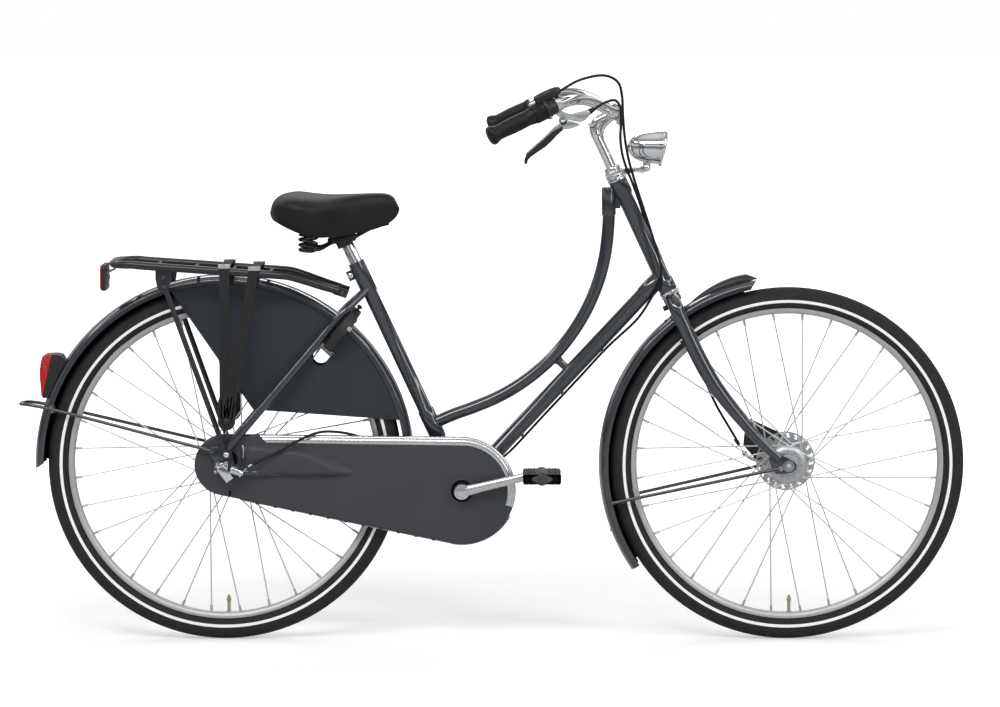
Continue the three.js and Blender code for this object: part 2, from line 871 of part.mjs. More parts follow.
// Carrier: one bent rail, cross bars, two struts and the front plates
function makeCarrier() {
  const easeX = 2 * carrierTubeRadius;
  const right = [
    [carrierFrontX, -carrierFrontHalf, carrierFrontZ],
    [carrierBendX + easeX, -carrierHalf * 0.95, carrierBendZ - easeX * 0.28],
    [carrierBendX - easeX, -carrierHalf, railHeight(carrierBendX - easeX)],
    [carrierRearX + carrierCorner, -carrierHalf, carrierZ],
    [carrierRearX + carrierCorner * 0.5, -carrierHalf + carrierCorner * 0.13, carrierZ],
    [carrierRearX + carrierCorner * 0.13, -carrierHalf + carrierCorner * 0.5, carrierZ],
    [carrierRearX, -carrierHalf + carrierCorner, carrierZ],
  ];
  const left = right.map(([x, y, z]) => [x, -y, z]).reverse();
  const rail = bentBar([...right, ...left], carrierTubeRadius, 6);
  const bars = [];
  for (let i = 0; i < crossBarCount; i++) {
    const x = crossBarFirstX + i * crossBarPitch;
    const z = railHeight(x);
    const bar = disc(0, 0, crossBarRadius, -carrierHalf, carrierHalf, 6).rotateY(Math.PI / 6);
    bars.push(bar.translate(x, 0, z));
  }
  const strutTop = [strutTopX, -carrierHalf, strutTopZ];
  const strutEnd = [boltX, -strutLowOffset, boltZ];
  const strutPlateY = -carrierHalf - carrierTubeRadius / 2;
  const half = 2 * carrierTubeRadius;
  const bracketOutline = [
    [strutTopX - half, carrierZ - carrierTubeRadius / 2],
    [strutTopX + half, carrierZ - carrierTubeRadius / 2],
    [strutTopX + half * 0.8, strutTopZ],
    [strutTopX + half * 0.4, strutTopZ - half],
    [strutTopX - half * 0.5, strutTopZ - half],
    [strutTopX - half, strutTopZ + half * 0.4],
  ];
  const bracketPlate = plate(bracketOutline, strutPlateY, strutPlateY + carrierTubeRadius / 2);
  const strut = rod(strutEnd, strutTop, strutRadius, 6);
  const footHalf = strutRadius / 2;
  const footRadius = 3 * footHalf;
  const foot = disc(boltX, boltZ, footRadius, -strutLowOffset - footHalf, -strutLowOffset + footHalf, 10);
  const boltEnd = -dropoutInner - dropoutThickness / 2;
  const bolt = disc(boltX, boltZ, binderBoltRadius, -strutLowOffset - strutRadius, boltEnd, 8);
  const front = block(
    [carrierFrontX + carrierTubeRadius, -carrierFrontHalf, carrierFrontZ - carrierTubeRadius / 2],
    [4 * carrierTubeRadius, carrierTubeRadius / 2, 2 * carrierTubeRadius],
    -18,
  );
  const side = join(bracketPlate, strut, foot, bolt, front);
  const dropout = dropoutSpace(clearance);
  const seatStay = seatStaySpace(clearance);
  const whole = join(rail, ...bars, side, mirrored(side));
  return cut(whole, dropout, mirrored(dropout), seatStay, mirrored(seatStay));
}

// Tail light on the back of the rear mudguard, red lens rearwards
function makeTailLight() {
  const outline = [
    [-tailLightReach, (tailLightLowZ + tailLightHighZ) / 2],
    [-tailLightReach + tailLightHalf * 0.22, tailLightHighZ - tailLightHalf * 0.2],
    [-tailLightReach + tailLightHalf * 0.9, tailLightHighZ],
    [-tailLightReach + tailLightHalf * 1.6, tailLightHighZ - tailLightHalf * 0.3],
    [-rearGuardRadius * 0.8, tailLightHighZ - tailLightHalf],
    [-rearGuardRadius * 0.9, tailLightLowZ],
    [-tailLightReach + tailLightHalf * 0.3, tailLightLowZ],
  ];
  const guard = turned(
    [
      [rearGuardRadius - skirtDepth * 2, -guardHalfWidth - clearance],
      [rearGuardRadius + clearance, -guardHalfWidth - clearance],
      [rearGuardRadius + clearance, guardHalfWidth + clearance],
      [rearGuardRadius - skirtDepth * 2, guardHalfWidth + clearance],
    ],
    guardSegments,
  ).translate(0, 0, axleZ);
  return cut(plate(outline, -tailLightHalf, tailLightHalf), guard);
}

// Rear reflector on a short arm under the carrier's rear loop
function makeReflector() {
  const body = block([reflectorX, 0, reflectorZ], [reflectorDepth, 2 * reflectorHalf, reflectorHeight]);
  const armTop = [carrierRearX, 0, carrierZ - carrierTubeRadius - 2 * clearance - guardStayRadius];
  const arm = rod([reflectorX, 0, reflectorZ + reflectorHeight * 0.3], armTop, guardStayRadius, 6);
  const rail = rod(
    [carrierRearX, -carrierHalf, carrierZ],
    [carrierRearX, carrierHalf, carrierZ],
    carrierTubeRadius + clearance,
  );
  return cut(join(body, arm, ball(armTop, guardStayRadius, 6)), rail);
}

// Two luggage straps over the carrier, meeting at an anchor button on each side
function makeStraps() {
  const pieces = [];
  const side = carrierHalf + carrierTubeRadius + clearance + strapThickness / 2;
  for (const x of strapTopX) {
    const z = railHeight(x - strapWidth / 2) + carrierTubeRadius + clearance + strapThickness / 2;
    pieces.push(block([x, 0, z], [strapWidth, 2 * side + strapThickness, strapThickness]));
    const low = [strapAnchorX, strapAnchorZ];
    const length = distance([x, z], low);
    const lean = THREE.MathUtils.radToDeg(Math.atan2(z - low[1], x - low[0]));
    for (const y of [-side, side]) {
      const middle = between([x, z], low, 0.5);
      const size = [length + strapThickness, strapThickness, strapWidth];
      pieces.push(block([middle[0], y, middle[1]], size, lean));
    }
  }
  for (const y of [-1, 1]) {
    const anchorSize = [strapWidth * 1.4, strapThickness, strapWidth * 1.6];
    const anchor = block([strapAnchorX, y * side, strapAnchorZ], anchorSize);
    const inner = side + strapThickness / 2 - clearance;
    const face = [y * inner, y * (inner + buttonDepth)];
    pieces.push(anchor);
    pieces.push(disc(strapAnchorX, strapAnchorZ, buttonRadius, Math.min(...face), Math.max(...face), 8));
  }
  const strutLow = [boltX, -strutLowOffset, boltZ];
  const strutHigh = [strutTopX, -carrierHalf, strutTopZ];
  const strut = rod(strutLow, strutHigh, strutRadius + clearance);
  return cut(join(...pieces), strut, mirrored(strut));
}

// The lock's own frame: X along the tangent towards the front, Z away from the hub
function lockFrame(geometry) {
  return geometry.rotateY(radians(90 - lockAngle)).translate(0, 0, axleZ);
}

// A ring sector in the lock's plane, angles from the outward direction towards the right side
function lockSector(inner, outer, from, to, low, high, steps = 16) {
  const points = [];
  const place = (radius, degrees) => [
    -radius * Math.sin(radians(degrees)),
    radius * Math.cos(radians(degrees)),
  ];
  for (let i = 0; i <= steps; i++) points.push(place(outer, from + ((to - from) * i) / steps));
  for (let i = steps; i >= 0; i--) points.push(place(inner, from + ((to - from) * i) / steps));
  const shape = new THREE.Shape(points.map(([y, z]) => new THREE.Vector2(y, z)));
  const geometry = new THREE.ExtrudeGeometry(shape, { depth: high - low, bevelEnabled: false });
  const turn = new THREE.Matrix4().makeBasis(
    new THREE.Vector3(0, 1, 0),
    new THREE.Vector3(0, 0, 1),
    new THREE.Vector3(1, 0, 0),
  );
  geometry.applyMatrix4(turn);
  return geometry.translate(low, 0, lockRadius);
}

const lockMiddle = lockForward + lockThickness / 2;
const channelHalf = lockBoltRadius + 3 * clearance;

function makeLockBody() {
  const body = lockSector(
    lockInnerRadius,
    lockOuterRadius,
    -lockGap,
    lockGap,
    lockForward,
    lockForward + lockThickness,
    14,
  );
  const channel = lockSector(
    lockChannelRadius - channelHalf,
    lockChannelRadius + channelHalf,
    -lockGap - lockKnobSpan,
    lockGap + lockKnobSpan,
    lockMiddle - channelHalf,
    lockMiddle + channelHalf,
    14,
  );
  const slot = lockSector(
    lockChannelRadius,
    lockOuterRadius + overrun,
    -2 * lockKnobSpan,
    lockTravel + 2 * lockKnobSpan,
    lockMiddle - lockBoltRadius / 2 - clearance,
    lockMiddle + lockBoltRadius / 2 + clearance,
    7,
  );
  return lockFrame(cut(body, channel, slot));
}

// The curved bolt with its thumb knob, drawn back
function makeLockBolt() {
  const bolt = lockSector(
    lockChannelRadius - lockBoltRadius,
    lockChannelRadius + lockBoltRadius,
    -lockKnobSpan,
    lockGap - lockKnobSpan,
    lockMiddle - lockBoltRadius,
    lockMiddle + lockBoltRadius,
    9,
  );
  const knob = lockSector(
    lockChannelRadius,
    lockOuterRadius + lockKnobLength,
    -lockKnobSpan,
    lockKnobSpan,
    lockMiddle - lockBoltRadius / 2,
    lockMiddle + lockBoltRadius / 2,
    2,
  );
  return lockFrame(join(bolt, knob));
}

// The outline round two circles that the chain and its case follow
function beltOutline(rearRadius, frontRadius, steps = 9) {
  const span = Math.hypot(bracketX - caseRearX, bracketZ - caseRearZ);
  const tilt = THREE.MathUtils.radToDeg(Math.atan2(bracketZ - caseRearZ, bracketX - caseRearX));
  const flare = THREE.MathUtils.radToDeg(Math.asin((frontRadius - rearRadius) / span));
  return [
    ...arcPoints(bracketX, bracketZ, frontRadius, tilt - 90 - flare, tilt + 90 + flare, steps),
    ...arcPoints(caseRearX, caseRearZ, rearRadius, tilt + 90 + flare, tilt + 270 - flare, steps),
  ];
}

// One half of the chain case: a tray with its floor on the outer or the inner side
function caseTray(floor, mouth) {
  const inwards = Math.sign(mouth - floor);
  const outline = beltOutline(caseRearRadius, caseFrontRadius);
  const outer = plate(outline, Math.min(floor, mouth), Math.max(floor, mouth));
  const pocketFloor = floor + inwards * caseWall;
  const pocketMouth = mouth + inwards * overrun;
  const pocket = plate(
    beltOutline(caseRearRadius - caseWall, caseFrontRadius - caseWall),
    Math.min(pocketFloor, pocketMouth),
    Math.max(pocketFloor, pocketMouth),
  );
  return cut(outer, pocket);
}

// What passes through the chain case: stay, dropout, axle, spindle and hub
function caseOpenings() {
  const reach = caseOuter + humpDepth + overrun;
  const gap = 4 * clearance;
  return [
    bentBar(chainStayPoints(), chainStayRadius + gap, 6),
    dropoutSpace(gap),
    disc(0, axleZ, nutRadius + gap, -reach, -caseSplit),
    disc(bracketX, bracketZ, crankHoleRadius, -reach, -caseSplit),
    disc(bracketX, bracketZ, shellRadius + gap, -caseSplit, -caseInner + overrun),
    disc(0, axleZ, hubNeckRadius + gap, -caseSplit - overrun, -caseInner + overrun),
  ];
}

function makeCaseOuter() {
  const tray = caseTray(-caseOuter, -caseSplit - clearance);
  const side = humpWedge(0);
  const hollow = humpWedge(caseWall);
  return cut(join(tray, side), hollow, ...caseOpenings());
}

// The raised oval that the right chain stay runs under, its base on the outer face
function humpWedge(shrink) {
  const top = caseOuter + humpDepth - shrink;
  const base = caseOuter - caseWall - (shrink ? overrun : 0);
  const radius = humpRadius - shrink;
  const ends = [
    [humpRearX, radius],
    [humpFrontX, radius * 0.8],
  ];
  const cones = ends.map(([x, r]) => {
    const geometry = new THREE.CylinderGeometry(r, r - humpDepth, top - base, 16);
    return geometry.translate(x, -(top + base) / 2, humpZ);
  });
  const roof = ends.map(([x, r]) => [x, r - humpDepth]);
  const corners = [];
  for (const [level, row] of [
    [base, ends],
    [top, roof],
  ]) {
    for (const [x, r] of row) {
      corners.push(new THREE.Vector3(x, -level, humpZ - r), new THREE.Vector3(x, -level, humpZ + r));
    }
  }
  return join(new ConvexGeometry(corners), ...cones);
}

function makeCaseInner() {
  return cut(caseTray(-caseInner, -caseSplit), ...caseOpenings());
}

// Pitch radius of a toothed wheel
function pitchRadius(teeth) {
  return chainPitch / (2 * Math.sin(Math.PI / teeth));
}

// A toothed wheel with its bore, across the bike
function toothed(teeth, bore) {
  const points = [];
  const pitch = pitchRadius(teeth);
  for (let i = 0; i < teeth; i++) {
    const step = 360 / teeth;
    points.push(onCircle(0, 0, pitch + toothReach, i * step));
    points.push(onCircle(0, 0, pitch - 3 * toothReach, (i + 0.5) * step));
  }
  const half = sprocketThickness / 2;
  return cut(plate(points, -half, half), disc(0, 0, bore, -half - overrun, half + overrun, 14));
}

// The outline round the sprocket and the chainwheel
function chainOutline(grow) {
  const rear = pitchRadius(sprocketTeeth) + grow;
  const front = pitchRadius(chainwheelTeeth) + grow;
  const span = Math.hypot(bracketX, bracketZ - axleZ);
  const tilt = THREE.MathUtils.radToDeg(Math.atan2(bracketZ - axleZ, bracketX));
  const flare = THREE.MathUtils.radToDeg(Math.asin((front - rear) / span));
  return [
    ...arcPoints(bracketX, bracketZ, front, tilt - 90 - flare, tilt + 90 + flare, 14),
    ...arcPoints(0, axleZ, rear, tilt + 90 + flare, tilt + 270 - flare, 8),
  ];
}

// The chain as a closed band with a groove for the teeth
function makeChain() {
  const groove = sprocketThickness / 2 + 2 * clearance;
  const low = -chainline - chainWidth / 2;
  const high = -chainline + chainWidth / 2;
  return cut(
    plate(chainOutline(chainHeight / 2), low, high),
    plate(chainOutline(-chainHeight / 2), low - overrun, high + overrun),
    plate(chainOutline(toothReach + 3 * clearance), -chainline - groove, -chainline + groove),
  );
}

// Wheel parts, about the axle at their own origin

// The tyre is solid, with its inner tube in it, and its beads stand in the rim's well
function makeTyre() {
  const section = tyreWidth / 2;
  const crown = tyreRadius - section;
  const bead = rimHalfWidth - rimBase - clearance;
  const edge = rimHalfWidth - rimWall - 2 * clearance;
  const beadRadius = rimWellRadius + 3 * clearance;
  const profile = [
    [beadRadius, -bead],
    [rimEdgeRadius + clearance, -edge],
  ];
  const outerSteps = 2;
  const outerSpan = 90;
  for (let i = -outerSteps; i <= outerSteps; i++) {
    const angle = radians((i * outerSpan) / outerSteps);
    profile.push([crown + section * Math.cos(angle), section * Math.sin(angle)]);
  }
  profile.push([rimEdgeRadius + clearance, edge], [beadRadius, bead]);
  return turned(profile);
}

function makeRim() {
  const base = rimHalfWidth - rimBase;
  const lip = rimHalfWidth - rimWall;
  const right = [
    [rimWellRadius, -base + clearance],
    [rimEdgeRadius, -lip],
    [rimEdgeRadius, -rimHalfWidth],
    [rimInnerRadius, -base],
  ];
  const left = right.map(([radius, y]) => [radius, -y]).reverse();
  return turned([...right, ...left]);
}

// The spokes of one side, joined where they cross and dished from the flange to the rim
function makeSpokes(side) {
  const perSide = spokeCount / 2;
  const pitch = 360 / perSide;
  const end = rimInnerRadius * Math.cos(Math.PI / wheelSegments) - clearance;
  const spokes = [];
  for (let i = 0; i < perSide; i++) {
    const rimAngle = -90 - (side * pitch) / 4 + i * pitch;
    const lead = i % 2 ? 1 : -1;
    const hole = onCircle(0, 0, spokeHoleRadius, rimAngle + lead * crossings * pitch);
    const rim = onCircle(0, 0, end, rimAngle);
    const [x, z] = between(hole, rim, 0.5);
    const lean = THREE.MathUtils.radToDeg(Math.atan2(rim[1] - hole[1], rim[0] - hole[0]));
    spokes.push(block([x, 0, z], [distance(hole, rim), 2 * spokeRadius, 2 * spokeRadius], lean));
  }
  const net = join(...spokes);
  const places = net.getAttribute("position");
  for (let i = 0; i < places.count; i++) {
    const radius = Math.hypot(places.getX(i), places.getZ(i));
    const share = (radius - spokeHoleRadius) / (end - spokeHoleRadius);
    const offset = spokeHeadOffset + (nippleOffset - spokeHeadOffset) * share;
    places.setY(i, places.getY(i) + side * offset);
  }
  return net;
}

// A hub shell with two flanges and what stands outside them on either side
function makeHub(barrel, rightProfile, leftProfile) {
  const inner = flangeOffset - flangeThickness;
  return turned(
    [
      ...rightProfile,
      [flangeRadius, -flangeOffset],
      [flangeRadius, -inner],
      [barrel, -inner],
      [barrel, inner],
      [flangeRadius, inner],
      [flangeRadius, flangeOffset],
      ...leftProfile,
    ],
    12,
  );
}

function makeRearHub() {
  const bore = boreFor(axleRadius, 12);
  const rightEnd = chainline + sprocketThickness / 2;
  const leftEnd = coasterInner - clearance;
  return makeHub(
    rearBarrelRadius,
    [
      [bore, -rightEnd],
      [hubNeckRadius, -rightEnd],
      [hubNeckRadius, -flangeOffset],
    ],
    [
      [coasterRadius, flangeOffset],
      [coasterRadius, leftEnd],
      [bore, leftEnd],
    ],
  );
}

// The front hub carries the round cooling disc of its brake on the left
function makeFrontHub() {
  const bore = boreFor(axleRadius, 12);
  const discOuter = discOffset + discThickness;
  return makeHub(
    frontBarrelRadius,
    [
      [bore, -frontHubEnd],
      [frontCapRadius, -frontHubEnd],
      [frontCapRadius, -flangeOffset],
    ],
    [
      [frontNeckRadius, flangeOffset],
      [frontNeckRadius, discOffset],
      [discRadius, discOffset],
      [discRadius, discOuter],
      [bore, discOuter],
    ],
  );
}

// Rear axle with its locknuts, outer nuts and the coaster brake's arm along the left chain stay
function makeRearAxle() {
  const nutInner = dropoutInner + dropoutThickness + clearance;
  const nutOuter = nutInner + nutThickness;
  const locknutEnd = dropoutInner - clearance;
  const hubRight = chainline + sprocketThickness / 2 + clearance;
  const armOuter = coasterInner + coasterArmThickness;
  const armHalf = coasterRadius / 5;
  const arm = plate(
    [
      [0, axleZ + coasterRadius / 2],
      [coasterArmLength, axleZ],
      [coasterArmLength, axleZ - armHalf],
      [0, axleZ - armHalf],
    ],
    coasterInner,
    armOuter,
  );
  return join(
    disc(0, axleZ, axleRadius, -nutOuter, nutOuter, 8),
    disc(0, axleZ, nutRadius, -nutOuter, -nutInner, 6),
    disc(0, axleZ, nutRadius, nutInner, nutOuter, 6),
    disc(0, axleZ, nutRadius, -locknutEnd, -hubRight, 8),
    disc(0, axleZ, nutRadius, coasterInner, locknutEnd, 8),
    disc(0, axleZ, coasterRadius, coasterInner, armOuter, 12),
    arm,
  );
}

// Outline of the gear changer at the right end of the rear axle, as shares of its reach
const changerShares = [
  [-0.26, -0.1],
  [0, 0.26],
  [0.4, 0.28],
  [0.48, 0.06],
  [0.92, 0.14],
  [1, -0.04],
  [0.92, -0.26],
  [0.36, -0.58],
  [0.04, -0.46],
  [-0.08, -0.24],
];

function makeChanger() {
  const outline = changerShares.map(([x, z]) => [x * changerReach, axleZ + z * changerReach]);
  const inner = dropoutInner + dropoutThickness + 2 * clearance + nutThickness;
  return plate(outline, -inner - changerDepth, -inner);
}

// Crank parts, about the bottom bracket at their own origin

function makeSpindle() {
  return disc(0, 0, spindleRadius, -spindleHalf, spindleHalf, 12);
}

// A crank with its pedal axle, side -1 is the right; its boss starts at the inner offset
function makeCrank(side, bossInner) {
  const turn = side < 0 ? crankAngle : crankAngle + 180;
  const [eyeX, eyeZ] = onCircle(0, 0, crankLength, turn);
  const outer = crankInner + crankThickness;
  const across = (low, high) => (side < 0 ? [-high, -low] : [low, high]);
  const wide = crankBossRadius * 0.8;
  const narrow = crankEyeRadius * 0.75;
  const normal = [-Math.sin(radians(turn)), Math.cos(radians(turn))];
  const arm = plate(
    [
      [normal[0] * wide, normal[1] * wide],
      [-normal[0] * wide, -normal[1] * wide],
      [eyeX - normal[0] * narrow, eyeZ - normal[1] * narrow],
      [eyeX + normal[0] * narrow, eyeZ + normal[1] * narrow],
    ],
    ...across(crankInner, outer),
  );
  const whole = join(
    disc(0, 0, crankBossRadius, ...across(bossInner, outer), 14),
    arm,
    disc(eyeX, eyeZ, crankEyeRadius, ...across(crankInner, outer), 16),
    disc(eyeX, eyeZ, pedalAxleRadius, ...across(outer - overrun, outer + pedalWidth), 10),
  );
  const bore = boreFor(spindleRadius, 12);
  return cut(whole, disc(0, 0, bore, ...across(bossInner - overrun, spindleHalf + clearance), 12));
}

// A pedal about its own axle: a block with two windows and a bore closed at its outer end
function makePedal(side) {
  const inner = crankInner + crankThickness + pedalGap;
  const middle = side * (inner + pedalWidth / 2);
  const body = block([0, middle, 0], [pedalLength, pedalWidth, pedalHeight]);
  const windows = [-1, 1].map((end) =>
    block(
      [end * pedalLength * 0.31, middle, 0],
      [pedalWindow, pedalWidth - 2 * pedalWindow, pedalHeight + overrun],
    ),
  );
  const depth = inner + pedalWidth - pedalGap + clearance;
  const ends = [side * (inner - overrun), side * depth];
  const bore = disc(0, 0, boreFor(pedalAxleRadius, 10), Math.min(...ends), Math.max(...ends), 10);
  return cut(body, ...windows, bore);
}

// Seat parts

const postTop = between(bracket, seatTop, (bracketX - postTopX) / (bracketX - seatTopX));

function makeSeatPost() {
  return rod(towards(seatTop, bracket, postInsert), postTop, postRadius, 10);
}

// Rails, spring seats and the clamp on the seat post
function makeSaddleFrame() {
  const slope = THREE.MathUtils.radToDeg(Math.atan2(bracketX - seatTopX, seatTopZ - bracketZ));
  const clampZMiddle = postTop[2] - clampHeight / 2;
  const clamp = block([postTopX, 0, clampZMiddle], [clampLength, 2 * railSpread, clampHeight], slope);
  const seatZ = springBottomZ - springWire - clearance;
  const pieces = [clamp];
  for (const side of [-1, 1]) {
    const route = [
      [springX, side * springY, seatZ - railRadius],
      [springX + springRadius * 1.6, side * springY * 0.8, seatZ - railRadius],
      [postTopX - clampLength / 2, side * railSpread * 0.8, clampZMiddle],
      [postTopX + clampLength / 2, side * railSpread * 0.8, clampZMiddle],
      [saddleRearX + saddleLength * 0.8, side * railSpread * 0.5, saddleBaseZ + railRadius],
      [saddleRearX + saddleLength * 0.92, side * railSpread * 0.25, saddleBaseZ + railRadius * 5.2],
    ];
    pieces.push(tube(route, railRadius, 9, 6));
    pieces.push(upright(springX, side * springY, springRadius + springWire, seatZ - railRadius, seatZ, 8));
  }
  const postBottom = towards(postTop, bracket, clampHeight * 2);
  const above = towards(postTop, bracket, -clampHeight);
  return cut(join(...pieces), rod(postBottom, above, boreFor(postRadius, 10), 10));
}

// Shares of the saddle's length, half width, and height of its top and its underside
const saddleShares = [
  [0, 0.3, 0.6, 0.54],
  [0.03, 0.62, 0.78, 0.47],
  [0.08, 0.83, 0.92, 0.36],
  [0.15, 0.96, 1, 0.22],
  [0.22, 1, 1.04, 0.12],
  [0.31, 0.97, 1.03, 0.07],
  [0.4, 0.85, 0.99, 0.05],
  [0.5, 0.62, 0.97, 0.05],
  [0.6, 0.42, 0.97, 0.06],
  [0.7, 0.3, 0.98, 0.08],
  [0.8, 0.25, 1, 0.13],
  [0.9, 0.22, 1, 0.24],
  [0.96, 0.18, 0.92, 0.35],
  [1, 0.09, 0.66, 0.5],
];

// The saddle cover: a crowned cushion with drawn-in sides, lofted from nose to back
function makeSaddleCover() {
  const around = 16;
  const widest = 0.42;
  const squareness = 0.75;
  const positions = [];
  const power = (value) => Math.sign(value) * Math.abs(value) ** squareness;
  for (const [along, half, top, bottom] of saddleShares) {
    const x = saddleRearX + along * saddleLength;
    const high = saddleBaseZ + top * saddleHeight;
    const low = saddleBaseZ + bottom * saddleHeight;
    const middle = low + (high - low) * widest;
    for (let i = 0; i < around; i++) {
      const angle = (2 * Math.PI * i) / around;
      const up = power(Math.sin(angle));
      const y = (power(Math.cos(angle)) * half * saddleWidth) / 2;
      positions.push(x, y, middle + up * (up > 0 ? high - middle : middle - low));
    }
  }
  const cushion = ringSkin(positions, saddleShares.length, around);
  const padLow = springTopZ + springWire + clearance;
  const padHigh = saddleBaseZ + saddleHeight / 3;
  const pads = [-1, 1].map((side) => upright(springX, side * springY, springRadius, padLow, padHigh));
  return join(cushion, ...pads);
}

// The least gap between wires of a spring, measured on its points from half a turn apart
function leastSelfGap(points, stepsPerTurn) {
  let least = springTopZ;
  points.forEach((point, i) => {
    for (const other of points.slice(i + stepsPerTurn / 2)) {
      least = Math.min(least, distance(point, other) - 2 * springWire);
    }
  });
  return least;
}

// One coil spring under the back of the saddle, a single unbroken wire
function makeSaddleSpring(side) {
  const stepsPerTurn = 8;
  const steps = stepsPerTurn * springTurns;
  const points = [];
  for (let i = 0; i <= steps; i++) {
    const angle = (2 * Math.PI * i) / stepsPerTurn;
    points.push([
      springX + springRadius * Math.cos(angle),
      side * springY + springRadius * Math.sin(angle),
      springBottomZ + ((springTopZ - springBottomZ) * i) / steps,
    ]);
  }
  console.log("saddle spring least gap to itself", leastSelfGap(points, stepsPerTurn).toFixed(2), "mm");
  return tube(points, springWire, steps, 5);
}

// Steering parts

// The point on the steering axis at a length above the top of the head tube
function onSteeringAxis(length) {
  return towards(headHigh, headLow, -length);
}

// Fork blade centreline, as shares of the way from the crown to the front axle
const bladeShares = [
  [0, 0],
  [0.093, 0.163],
  [0.203, 0.335],
  [0.317, 0.489],
  [0.454, 0.613],
  [0.634, 0.755],
  [0.819, 0.879],
  [0.92, 0.96],
];

const crownPoint = towards(headLow, headHigh, -lowerStack - crownHeight / 2);

function bladePoints() {
  const topX = crownPoint[0] + bladeRadius / 2;
  const topZ = crownPoint[2];
  return bladeShares.map(([x, z]) => [
    topX + (wheelbase - topX) * x,
    -(bladeTopOffset + (bladeOffset - bladeTopOffset) * x),
    topZ + (axleZ - topZ) * z,
  ]);
}

// Fork: steerer, lower race, crown, two tapering blades and their dropouts
function makeFork() {
  const tilt = THREE.MathUtils.radToDeg(Math.atan2(headLowX - headHighX, headHighZ - headLowZ));
  const steerer = rod(crownPoint, onSteeringAxis(upperStack - clearance), steererRadius, 10);
  const raceLow = towards(headLow, headHigh, -lowerStack);
  const raceHigh = towards(headLow, headHigh, -clearance);
  const race = rod(raceLow, raceHigh, cupRadius, 10);
  const crown = block(crownPoint, [crownDepth, crownWidth, crownHeight], tilt);
  const seatAngle = Math.atan2(crownPoint[2] - axleZ, crownPoint[0] - wheelbase);
  const seat = onCircle(wheelbase, axleZ, frontGuardRadius, THREE.MathUtils.radToDeg(seatAngle));
  const pad = rod(crownPoint, [seat[0], 0, seat[1]], bladeRadius);
  const taper = bladeRadius - bladeTopRadius;
  const radii = bladeShares.map(([x]) => bladeTopRadius + taper * Math.min(1, x * 1.25));
  const points = bladePoints();
  const blade = loft(points, radii, 6);
  const tip = points[points.length - 1];
  const inner = -frontDropoutInner - frontDropoutThickness;
  const dropout = join(
    disc(wheelbase, axleZ, 2 * bladeRadius, inner, -frontDropoutInner, 8),
    plate(
      [
        [tip[0] - bladeRadius, tip[2] + bladeRadius],
        [wheelbase - bladeRadius, axleZ - bladeRadius],
        [wheelbase + bladeRadius, axleZ + bladeRadius],
        [tip[0] + bladeRadius / 2, tip[2] + 2 * bladeRadius],
      ],
      inner,
      -frontDropoutInner,
    ),
  );
  const side = join(blade, dropout);
  const whole = join(steerer, race, crown, pad, side, mirrored(side));
  const quillBottom = onSteeringAxis(-quillInsert - clearance);
  const above = onSteeringAxis(upperStack + overrun);
  const guardRing = turned(
    [
      [frontGuardRadius - skirtDepth, -guardHalfWidth],
      [frontGuardRadius + clearance, -guardHalfWidth],
      [frontGuardRadius + clearance, guardHalfWidth],
      [frontGuardRadius - skirtDepth, guardHalfWidth],
    ],
    guardSegments,
  ).translate(wheelbase, 0, axleZ);
  const reach = frontDropoutInner + frontDropoutThickness + overrun;
  return cut(
    whole,
    rod(quillBottom, above, boreFor(quillRadius, 10), 10),
    disc(wheelbase, axleZ, boreFor(axleRadius, 12), -reach, reach, 12),
    guardRing,
  );
}

// Headset cup and nut with the lamp's bracket clamped between them
function makeHeadset() {
  const low = onSteeringAxis(clearance);
  const high = onSteeringAxis(upperStack);
  const step = onSteeringAxis(upperStack * 0.36);
  const arm = onSteeringAxis(upperStack * 0.58);
  const lugGap = lampLugHalf + clearance;
  const lean = THREE.MathUtils.radToDeg(Math.atan2(lampPivotZ - arm[2], lampPivotX - arm[0]));
  const outline = [
    ...arcPoints(arm[0], arm[2], lampLugRadius, lean + 90, lean + 270, 2),
    ...arcPoints(lampPivotX, lampPivotZ, lampLugRadius, lean - 90, lean + 90, 5),
  ];
  const ear = plate(outline, lugGap, lugGap + bracketThickness);
  const pinHalf = lugGap + bracketThickness;
  const whole = join(
    rod(low, step, cupRadius, 10),
    rod(step, high, cupRadius - bracketThickness, 10),
    ear,
    mirrored(ear),
    disc(lampPivotX, lampPivotZ, lampPinRadius, -pinHalf + clearance, pinHalf - clearance, 8),
  );
  const below = onSteeringAxis(-overrun);
  const above = onSteeringAxis(upperStack + overrun);
  return cut(whole, rod(below, above, boreFor(steererRadius, 10), 10));
}

// Stem: a quill in the steerer and a neck forward to the handlebar clamp
function makeStem() {
  const low = onSteeringAxis(-quillInsert);
  const top = onSteeringAxis(quillTop);
  const whole = join(
    rod(low, top, quillRadius, 10),
    ball(top, quillRadius),
    rod(top, [clampX, 0, clampZ], quillRadius, 10),
    disc(clampX, clampZ, clampRadius, -clampHalf, clampHalf, 12),
  );
  const reach = clampHalf + overrun;
  return cut(whole, disc(clampX, clampZ, boreFor(barRadius, 8), -reach, reach, 8));
}

// The straight outer part of the right half of the handlebar, from its end inwards
const gripEnd = [gripEndX, -gripEndY, gripEndZ];
const gripInner = [gripInnerX, -gripInnerY, gripInnerZ];

function alongGrip(length) {
  return towards(gripEnd, gripInner, length);
}

const ringStart = gripLength + clearance;
const housingStart = ringStart + ringLength + clearance;
const straightLength = housingStart + housingLength + 2 * leverClampLength;

// Centreline of the handlebar's curved middle, as shares of the way from the clamp to its straight part
const barShares = [
  [0.09, 0.12, 0.57],
  [0.34, 0.34, 1.15],
  [0.61, 0.6, 1.35],
  [0.8, 0.83, 1.25],
];

